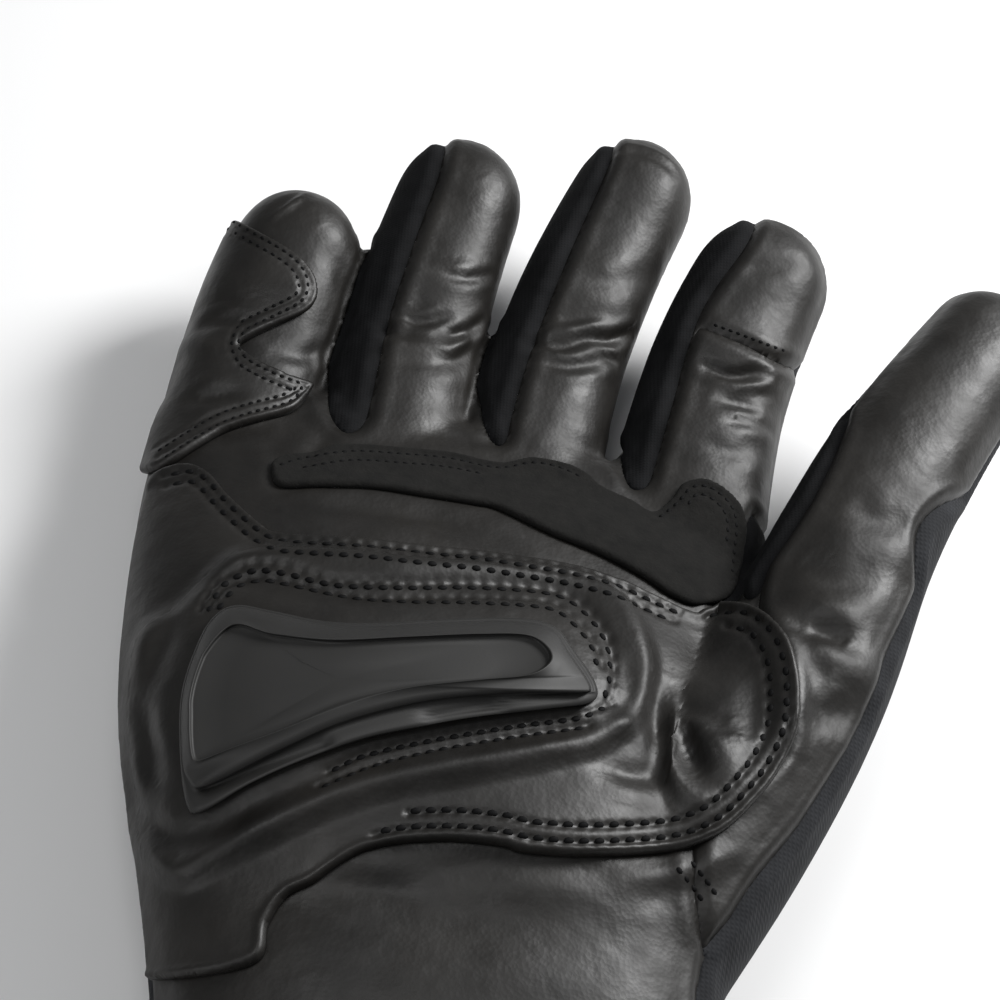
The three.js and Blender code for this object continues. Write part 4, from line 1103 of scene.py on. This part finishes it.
def fittedBase():
    under = insideOf(outlineOf["skirt"], seen(formPoints, 4)) & (formPoints[:, 2] > sliderShape["baseHeight"])
    places = formPoints[under]
    return np.linalg.lstsq(smoothBase(places[:, 0], places[:, 1]), places[:, 2], rcond=None)[0]


def aboveBase(spots, heights):  # the places that height over the smooth base that picture points show
    f = picture["focalPixels"]
    sideways = np.outer((spots[:, 0] - 500) / f, pictureRight)
    rays = unit(sideways + np.outer((500 - spots[:, 1]) / f, pictureUp) - pictureBack)
    far = np.full(len(spots), picture["distance"])
    for _ in range(12):
        p = eye + rays * far[:, None]
        z = smoothBase(p[:, 0], p[:, 1]) @ baseTerms
        steps = ((0.5, 0), (0, 0.5))
        slopes = [(smoothBase(p[:, 0] + dx, p[:, 1] + dy) @ baseTerms - z) / 0.5 for dx, dy in steps]
        normal = unit(np.stack([-slopes[0], -slopes[1], np.ones(len(z))], 1))
        gap = (p[:, 2] - z) * normal[:, 2] - heights
        far += gap / np.maximum(-(rays * normal).sum(1), 0.4)
    return eye + rays * far[:, None]


def makeSlider():
    outer, rim, face = (smoothLine(outlines[k], 1.5, True) for k in ("skirt", "rim", "face"))
    centre = np.array(sliderShape["middle"])
    gone = np.concatenate([[0], np.cumsum(np.linalg.norm(np.diff(face, axis=0), axis=1))])
    even = np.linspace(0, gone[-1], sliderShape["turns"], endpoint=False)
    steps = np.stack([np.interp(even, gone, face[:, k]) for k in range(2)], 1) - centre
    angles = np.sort(np.arctan2(steps[:, 1], steps[:, 0]))
    rOut, rRim, rFace = (outlineRadii(k, centre, angles) for k in (outer, rim, face))
    rRim = np.minimum(rRim, rOut - 3)
    rFace = np.minimum(rFace, rRim - 7)
    bottom = layers["seat"] * 2 + layers["pad"]
    top = bottom + layers["plate"]
    skirt, floor = top - layers["plateSkirtDepth"], top - layers["plateFaceDepth"]
    gap = rOut - rRim
    path = [  # from the hidden underside, over the skirt and the rim, to the face
        (rOut - 8, bottom - 1), (rOut - 1, bottom - 1), (rOut, bottom - 0.2), (rOut - 0.5, skirt - 0.8),
        (rOut - 1.5, skirt - 0.3), (rOut - gap * 0.25, skirt - 0.1), (rOut - gap * 0.4, skirt),
        (rOut - gap * 0.55, skirt), (rOut - gap * 0.7, skirt), (rOut - gap * 0.88, skirt + 0.1),
        (rRim + 1, skirt + 0.5), (rRim - 0.5, top - 1.5), (rRim - 1.5, top - 1.2),
        (rRim * 0.5 + rFace * 0.5, top - 0.55), (rFace + 2, top - 0.1), (rFace + 0.8, top),
        (rFace - 0.3, top - 0.2), (rFace - 1.2, floor + 0.35), (rFace - 2.2, floor + 0.1), (rFace - 4, floor),
        (rFace * 0.75, floor + 0.04), (rFace * 0.4, floor + 0.08),
    ]
    rings = []
    d = np.stack([np.cos(angles), np.sin(angles)], 1)
    for i, (radii, height) in enumerate(path):
        spots = centre + d * radii[:, None]
        heights = height - (slotDip(spots) if 4 < i < 10 else np.zeros(len(spots)))
        rings.append(aboveBase(spots, heights))
    points, faces = lathe(rings)
    return facesOut(meshObject("slider_plate_look", points, faces))


baseTerms = fittedBase()
pieces["slider_plate"] = makeSlider()
print("slider made")


# the binding round the cuff's end
binding = {
    "sides": 160,
    "path": [  # along the glove from its end, and out from its surface
        (8.9, 0.5), (8.6, 1.2), (7.8, 1.6), (4.5, 1.75), (1.2, 1.65), (-0.5, 1.3), (-1.3, 0.4), (-1.45, -1.2),
        (-1.3, -2.8), (-0.5, -3.7), (1.2, -4.05), (4.5, -4.15), (7.8, -4.0), (8.6, -3.6), (8.9, -2.9),
        (4.0, -2.75), (0.2, -2.7), (0.0, -1.2), (0.2, 0.3), (4.0, 0.35),
    ],
}


def makeBinding():
    rings = [handRing(cuffEnd + y, binding["sides"], grow) for y, grow in binding["path"]]
    points, faces = lathe(rings, closed=True)
    points[:, 2] = np.maximum(points[:, 2], 0)
    return facesOut(meshObject("cuff_binding_look", points, faces))


pieces["cuff_binding"] = makeBinding()
print("binding made")


# stitches
stitching = {"length": 1.75, "width": 1.2, "height": 0.7, "sink": 0.36}


def worldTree(names):
    allPoints, allTris, offset = [], [], 0
    for name in names:
        p, t = trianglesOf(pieces[name])
        allPoints.append(p)
        allTris.append(t + offset)
        offset += len(p)
    return BVHTree.FromPolygons(np.vstack(allPoints).tolist(), np.vstack(allTris).tolist())


skinTree = worldTree(list(pieces))


def placeLines():
    made = []
    for row, pitch in rows:
        hits = [castPicture(skinTree, *spot) for spot in row]
        known = np.array([hit is not None for hit in hits])
        way = rowLength(row)[known]
        line = evened(np.array([hit[0] for hit in hits if hit is not None]))
        normal = unit(evened(np.array([hit[1] for hit in hits if hit is not None]), 6))
        at = np.arange(pitch / 2, way[-1], pitch)

        def read(values, shift=0.0):
            return np.stack([np.interp(at + shift, way, values[:, k]) for k in range(3)], 1)

        size = np.full((len(at), 1), pitch / sewn["fullPitch"])
        made.append((read(line), unit(read(line, 0.7) - read(line, -0.7)), unit(read(normal)), size))
    return [np.vstack(column) for column in zip(*made)]


def stitchTree(material):
    tree = bpy.data.node_groups.new("stitches", "GeometryNodeTree")
    tree.is_modifier = True
    face = tree.interface
    face.new_socket("Geometry", in_out="INPUT", socket_type="NodeSocketGeometry")
    for label in ("Length", "Width", "Height"):
        face.new_socket(label, in_out="INPUT", socket_type="NodeSocketFloat")
    face.new_socket("Geometry", in_out="OUTPUT", socket_type="NodeSocketGeometry")
    nodes, links = tree.nodes, tree.links
    start, end = nodes.new("NodeGroupInput"), nodes.new("NodeGroupOutput")
    ball = nodes.new("GeometryNodeMeshUVSphere")
    ball.inputs["Segments"].default_value = 8
    ball.inputs["Rings"].default_value = 6
    ball.inputs["Radius"].default_value = 0.5
    size = nodes.new("ShaderNodeCombineXYZ")
    for k, label in enumerate(("Length", "Width", "Height")):
        links.new(start.outputs[label], size.inputs[k])
    scaled, share = nodes.new("ShaderNodeVectorMath"), nodes.new("GeometryNodeInputNamedAttribute")
    scaled.operation = "SCALE"
    share.data_type = "FLOAT"
    share.inputs["Name"].default_value = "size"
    links.new(size.outputs["Vector"], scaled.inputs[0])
    links.new(share.outputs["Attribute"], scaled.inputs["Scale"])
    turned = []
    for name, axis in (("ahead", "X"), ("up", "Z")):
        read = nodes.new("GeometryNodeInputNamedAttribute")
        read.data_type = "FLOAT_VECTOR"
        read.inputs["Name"].default_value = name
        turn = nodes.new("FunctionNodeAlignRotationToVector")
        turn.axis = axis
        if turned:
            turn.pivot_axis = "X"
            links.new(turned[-1].outputs["Rotation"], turn.inputs["Rotation"])
        links.new(read.outputs["Attribute"], turn.inputs["Vector"])
        turned.append(turn)
    place = nodes.new("GeometryNodeInstanceOnPoints")
    links.new(start.outputs["Geometry"], place.inputs["Points"])
    links.new(ball.outputs["Mesh"], place.inputs["Instance"])
    links.new(turned[-1].outputs["Rotation"], place.inputs["Rotation"])
    links.new(scaled.outputs["Vector"], place.inputs["Scale"])
    real, paint = nodes.new("GeometryNodeRealizeInstances"), nodes.new("GeometryNodeSetMaterial")
    paint.inputs["Material"].default_value = material
    smooth = nodes.new("GeometryNodeSetShadeSmooth")
    links.new(place.outputs["Instances"], real.inputs["Geometry"])
    links.new(real.outputs["Geometry"], smooth.inputs["Geometry"])
    links.new(smooth.outputs["Geometry"], paint.inputs["Geometry"])
    links.new(paint.outputs["Geometry"], end.inputs["Geometry"])
    return tree


def makeStitches(material):
    at, ahead, up, size = placeLines()
    made = meshObject("stitches", at + up * size * (stitching["height"] / 2 - stitching["sink"]), [])
    for name, values in (("ahead", ahead), ("up", up)):
        attribute = made.data.attributes.new(name, "FLOAT_VECTOR", "POINT")
        attribute.data.foreach_set("vector", values.astype(np.float32).ravel())
    attribute = made.data.attributes.new("size", "FLOAT", "POINT")
    attribute.data.foreach_set("value", size.astype(np.float32).ravel())
    modifier = made.modifiers.new("stitches", "NODES")
    modifier.node_group = stitchTree(material)
    for item in modifier.node_group.interface.items_tree:
        if item.in_out == "INPUT" and item.name in ("Length", "Width", "Height"):
            modifier[item.identifier] = stitching[item.name.lower()] * mm
    return applied(made)


# materials
def newMaterial(name, colour, roughness, specular=0.33):
    material = bpy.data.materials.new(name)
    material.use_nodes = True
    shader = material.node_tree.nodes["Principled BSDF"]
    shader.inputs["Base Color"].default_value = (*colour, 1)
    shader.inputs["Roughness"].default_value = roughness
    shader.inputs["Specular IOR Level"].default_value = specular
    return material, material.node_tree, shader


def noise(tree, coords, scale, detail=3.0, rough=0.55):
    node = tree.nodes.new("ShaderNodeTexNoise")
    node.inputs["Scale"].default_value = scale
    node.inputs["Detail"].default_value = detail
    node.inputs["Roughness"].default_value = rough
    tree.links.new(coords, node.inputs["Vector"])
    return node.outputs["Fac"]


def ranged(tree, value, low, high, fromLow=0.3, fromHigh=0.7):
    node = tree.nodes.new("ShaderNodeMapRange")
    tree.links.new(value, node.inputs["Value"])
    for label, amount in (("From Min", fromLow), ("From Max", fromHigh), ("To Min", low), ("To Max", high)):
        node.inputs[label].default_value = amount
    return node.outputs["Result"]


def bump(tree, height, strength, distance, before=None):
    node = tree.nodes.new("ShaderNodeBump")
    node.inputs["Strength"].default_value = strength
    node.inputs["Distance"].default_value = distance
    tree.links.new(height, node.inputs["Height"])
    if before is not None:
        tree.links.new(before, node.inputs["Normal"])
    return node.outputs["Normal"]


def tinted(tree, shader, value, dark, light):
    node = tree.nodes.new("ShaderNodeMix")
    node.data_type = "RGBA"
    node.inputs["A"].default_value = (*dark, 1)
    node.inputs["B"].default_value = (*light, 1)
    tree.links.new(value, node.inputs["Factor"])
    tree.links.new(node.outputs["Result"], shader.inputs["Base Color"])


hide = {"cloudScale": 55, "wearScale": 130, "softScale": 75, "wrinkleScale": 420, "grainScale": 1300}


def leather(name, dark, light, roughLow, roughHigh, grain=0.2):
    material, tree, shader = newMaterial(name, light, roughHigh)
    coords = tree.nodes.new("ShaderNodeTexCoord").outputs["Object"]
    tinted(tree, shader, ranged(tree, noise(tree, coords, hide["cloudScale"], 4), 0, 1), dark, light)
    wear = noise(tree, coords, hide["wearScale"], 3)
    tree.links.new(ranged(tree, wear, roughLow, roughHigh), shader.inputs["Roughness"])
    cells = tree.nodes.new("ShaderNodeTexVoronoi")
    cells.inputs["Scale"].default_value = hide["grainScale"]
    tree.links.new(coords, cells.inputs["Vector"])
    soft = bump(tree, noise(tree, coords, hide["softScale"], 3), 0.3, 0.002)
    wrinkle = bump(tree, noise(tree, coords, hide["wrinkleScale"], 4, 0.6), 0.05, 0.0004, soft)
    fine = bump(tree, cells.outputs["Distance"], grain, 0.00012, wrinkle)
    tree.links.new(fine, shader.inputs["Normal"])
    return material


waveRepeat = 0.314  # how far apart a wave texture's bands are at a scale of one


def textile(name, dark, light, pitch, relief, specular):
    material, tree, shader = newMaterial(name, light, 0.88, specular)
    coords = tree.nodes.new("ShaderNodeTexCoord").outputs["Object"]
    tinted(tree, shader, ranged(tree, noise(tree, coords, 160, 4), 0, 1), dark, light)
    waves = []
    for direction in ("X", "Y"):
        wave = tree.nodes.new("ShaderNodeTexWave")
        wave.bands_direction = direction
        wave.inputs["Scale"].default_value = waveRepeat / pitch
        wave.inputs["Distortion"].default_value = 0.6
        tree.links.new(coords, wave.inputs["Vector"])
        waves.append(wave.outputs["Fac"])
    both = tree.nodes.new("ShaderNodeMath")
    both.operation = "MULTIPLY"
    tree.links.new(waves[0], both.inputs[0])
    tree.links.new(waves[1], both.inputs[1])
    soft = bump(tree, noise(tree, coords, 150, 3), 0.3, 0.0008)
    tree.links.new(bump(tree, both.outputs[0], relief, 0.0003, soft), shader.inputs["Normal"])
    return material


def suede(name, dark, light):
    material, tree, shader = newMaterial(name, light, 0.95, 0.2)
    coords = tree.nodes.new("ShaderNodeTexCoord").outputs["Object"]
    tinted(tree, shader, ranged(tree, noise(tree, coords, 300, 6, 0.7), 0, 1), dark, light)
    rough = bump(tree, noise(tree, coords, 1400, 4, 0.7), 0.6, 0.0003)
    tree.links.new(bump(tree, noise(tree, coords, 260, 4), 0.4, 0.0006, rough), shader.inputs["Normal"])
    return material


def plastic(name, colour):
    material, tree, shader = newMaterial(name, colour, 0.6, 0.4)
    coords = tree.nodes.new("ShaderNodeTexCoord").outputs["Object"]
    tree.links.new(ranged(tree, noise(tree, coords, 90, 5), 0.54, 0.64), shader.inputs["Roughness"])
    tree.links.new(bump(tree, noise(tree, coords, 2200, 2), 0.12, 0.00008), shader.inputs["Normal"])
    return material


tones = {
    "leatherDark": (0.0062, 0.0057, 0.0051),
    "leatherLight": (0.0135, 0.0123, 0.0108),
    "textileDark": (0.0085, 0.009, 0.0105),
    "textileLight": (0.018, 0.019, 0.0215),
    "stripDark": (0.0046, 0.0047, 0.0051),
    "stripLight": (0.0094, 0.0096, 0.0104),
    "suedeDark": (0.0042, 0.0041, 0.0038),
    "suedeLight": (0.0092, 0.0088, 0.008),
    "slider": (0.0125, 0.0122, 0.0115),
    "thread": (0.002, 0.002, 0.0022),
}
leatherLook = leather("smooth black leather", tones["leatherDark"], tones["leatherLight"], 0.4, 0.56)
touchLook = leather("touch leather", tones["leatherDark"], tones["leatherLight"], 0.42, 0.55, 0.15)
bindingLook = leather("binding leather", tones["stripDark"], tones["leatherDark"], 0.45, 0.6)
backLook = textile("back textile", tones["textileDark"], tones["textileLight"], 0.0008, 0.25, 0.25)
looks = {
    "palm_leather": (leatherLook, "leather"),
    "thumb_leather": (leatherLook, "leather"),
    "little_finger_guard": (leatherLook, "leather"),
    "palm_overlay": (leatherLook, "leather"),
    "cuff": (leatherLook, "leather"),
    "index_touch_tip": (touchLook, "touch_leather"),
    "cuff_binding": (bindingLook, "binding"),
    "back_panel": (backLook, "back_textile"),
    "grip_bar": (suede("grip suede", tones["suedeDark"], tones["suedeLight"]), "suede"),
    "slider_plate": (plastic("moulded slider", tones["slider"]), "slider"),
}
stripLook = textile("stretch strips", tones["stripDark"], tones["stripLight"], 0.0006, 0.15, 0.1)
for name in ("fourchette_little_ring", "fourchette_ring_middle", "fourchette_middle_index", "thumb_gusset"):
    looks[name] = (stripLook, "strip_textile")
thread = newMaterial("sewing thread", tones["thread"], 0.75, 0.12)[0]
stitches = makeStitches(thread)
print("triangles:", {name: len(trianglesOf(piece)[1]) for name, piece in pieces.items()})
print("stitches made:", len(stitches.data.polygons))

thinning = {"back_panel": 0.4, "cuff": 0.35}  # the share of triangles that these plain pieces keep
for name, ratio in thinning.items():
    thin = pieces[name].modifiers.new("fewer", "DECIMATE")
    thin.ratio = ratio
    applied(pieces[name]).data.shade_smooth()
for name, piece in pieces.items():
    material, slot = looks[name]
    piece.data.materials.clear()
    piece.data.materials.append(material)
    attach(piece, "root")
    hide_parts(name)
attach(stitches, "root")

# floor, light and camera
studio = {
    "floorHalf": 3.0,
    "aim": (0.01, 0.02, 0.03),
    "sensor": 36,
    "floorTone": (0.8, 0.8, 0.8),
    "worldTone": (0.9, 0.92, 0.95),
    "worldStrength": 0.2,
    "lamps": [  # place in metres, size in metres, watts
        ((0.42, 0.3, 0.42), 0.26, 6.4),
        ((-0.42, -0.45, 0.34), 0.4, 1.2),
        ((-0.12, -0.06, 0.55), 0.2, 0.7),
    ],
}


def makeFloor():
    mesh = bpy.data.meshes.new("floor")
    half = studio["floorHalf"]
    corners = [(-half, -half, 0), (half, -half, 0), (half, half, 0), (-half, half, 0)]
    mesh.from_pydata(corners, [], [(0, 1, 2, 3)])
    floor = bpy.data.objects.new("floor", mesh)
    bpy.context.scene.collection.objects.link(floor)
    mesh.materials.append(newMaterial("pale floor", studio["floorTone"], 0.9, 0.2)[0])


def makeLights():
    world = bpy.data.worlds.new("studio")
    bpy.context.scene.world = world
    world.use_nodes = True
    sky = world.node_tree.nodes["Background"]
    sky.inputs["Color"].default_value = (*studio["worldTone"], 1)
    sky.inputs["Strength"].default_value = studio["worldStrength"]
    for i, (place, size, watts) in enumerate(studio["lamps"]):
        data = bpy.data.lights.new(f"lamp{i}", "AREA")
        data.size = size
        data.energy = watts
        lamp = bpy.data.objects.new(f"lamp{i}", data)
        bpy.context.scene.collection.objects.link(lamp)
        lamp.location = place
        lamp.rotation_mode = "QUATERNION"
        lamp.rotation_quaternion = (Vector(studio["aim"]) - Vector(place)).to_track_quat("-Z", "Y")


def makeCamera():
    data = bpy.data.cameras.new("camera")
    data.sensor_width = studio["sensor"]
    data.lens = picture["focalPixels"] / 1000 * studio["sensor"]
    data.clip_start, data.clip_end = 0.01, 20
    camera = bpy.data.objects.new("camera", data)
    bpy.context.scene.collection.objects.link(camera)
    place = eye * mm
    camera.matrix_world = Matrix([
        (pictureRight[k], pictureUp[k], pictureBack[k], place[k]) for k in range(3)] + [(0, 0, 0, 1)])
    bpy.context.scene.camera = camera


makeFloor()
makeLights()
makeCamera()
bpy.context.scene.view_settings.view_transform = "Standard"
print("scene set")
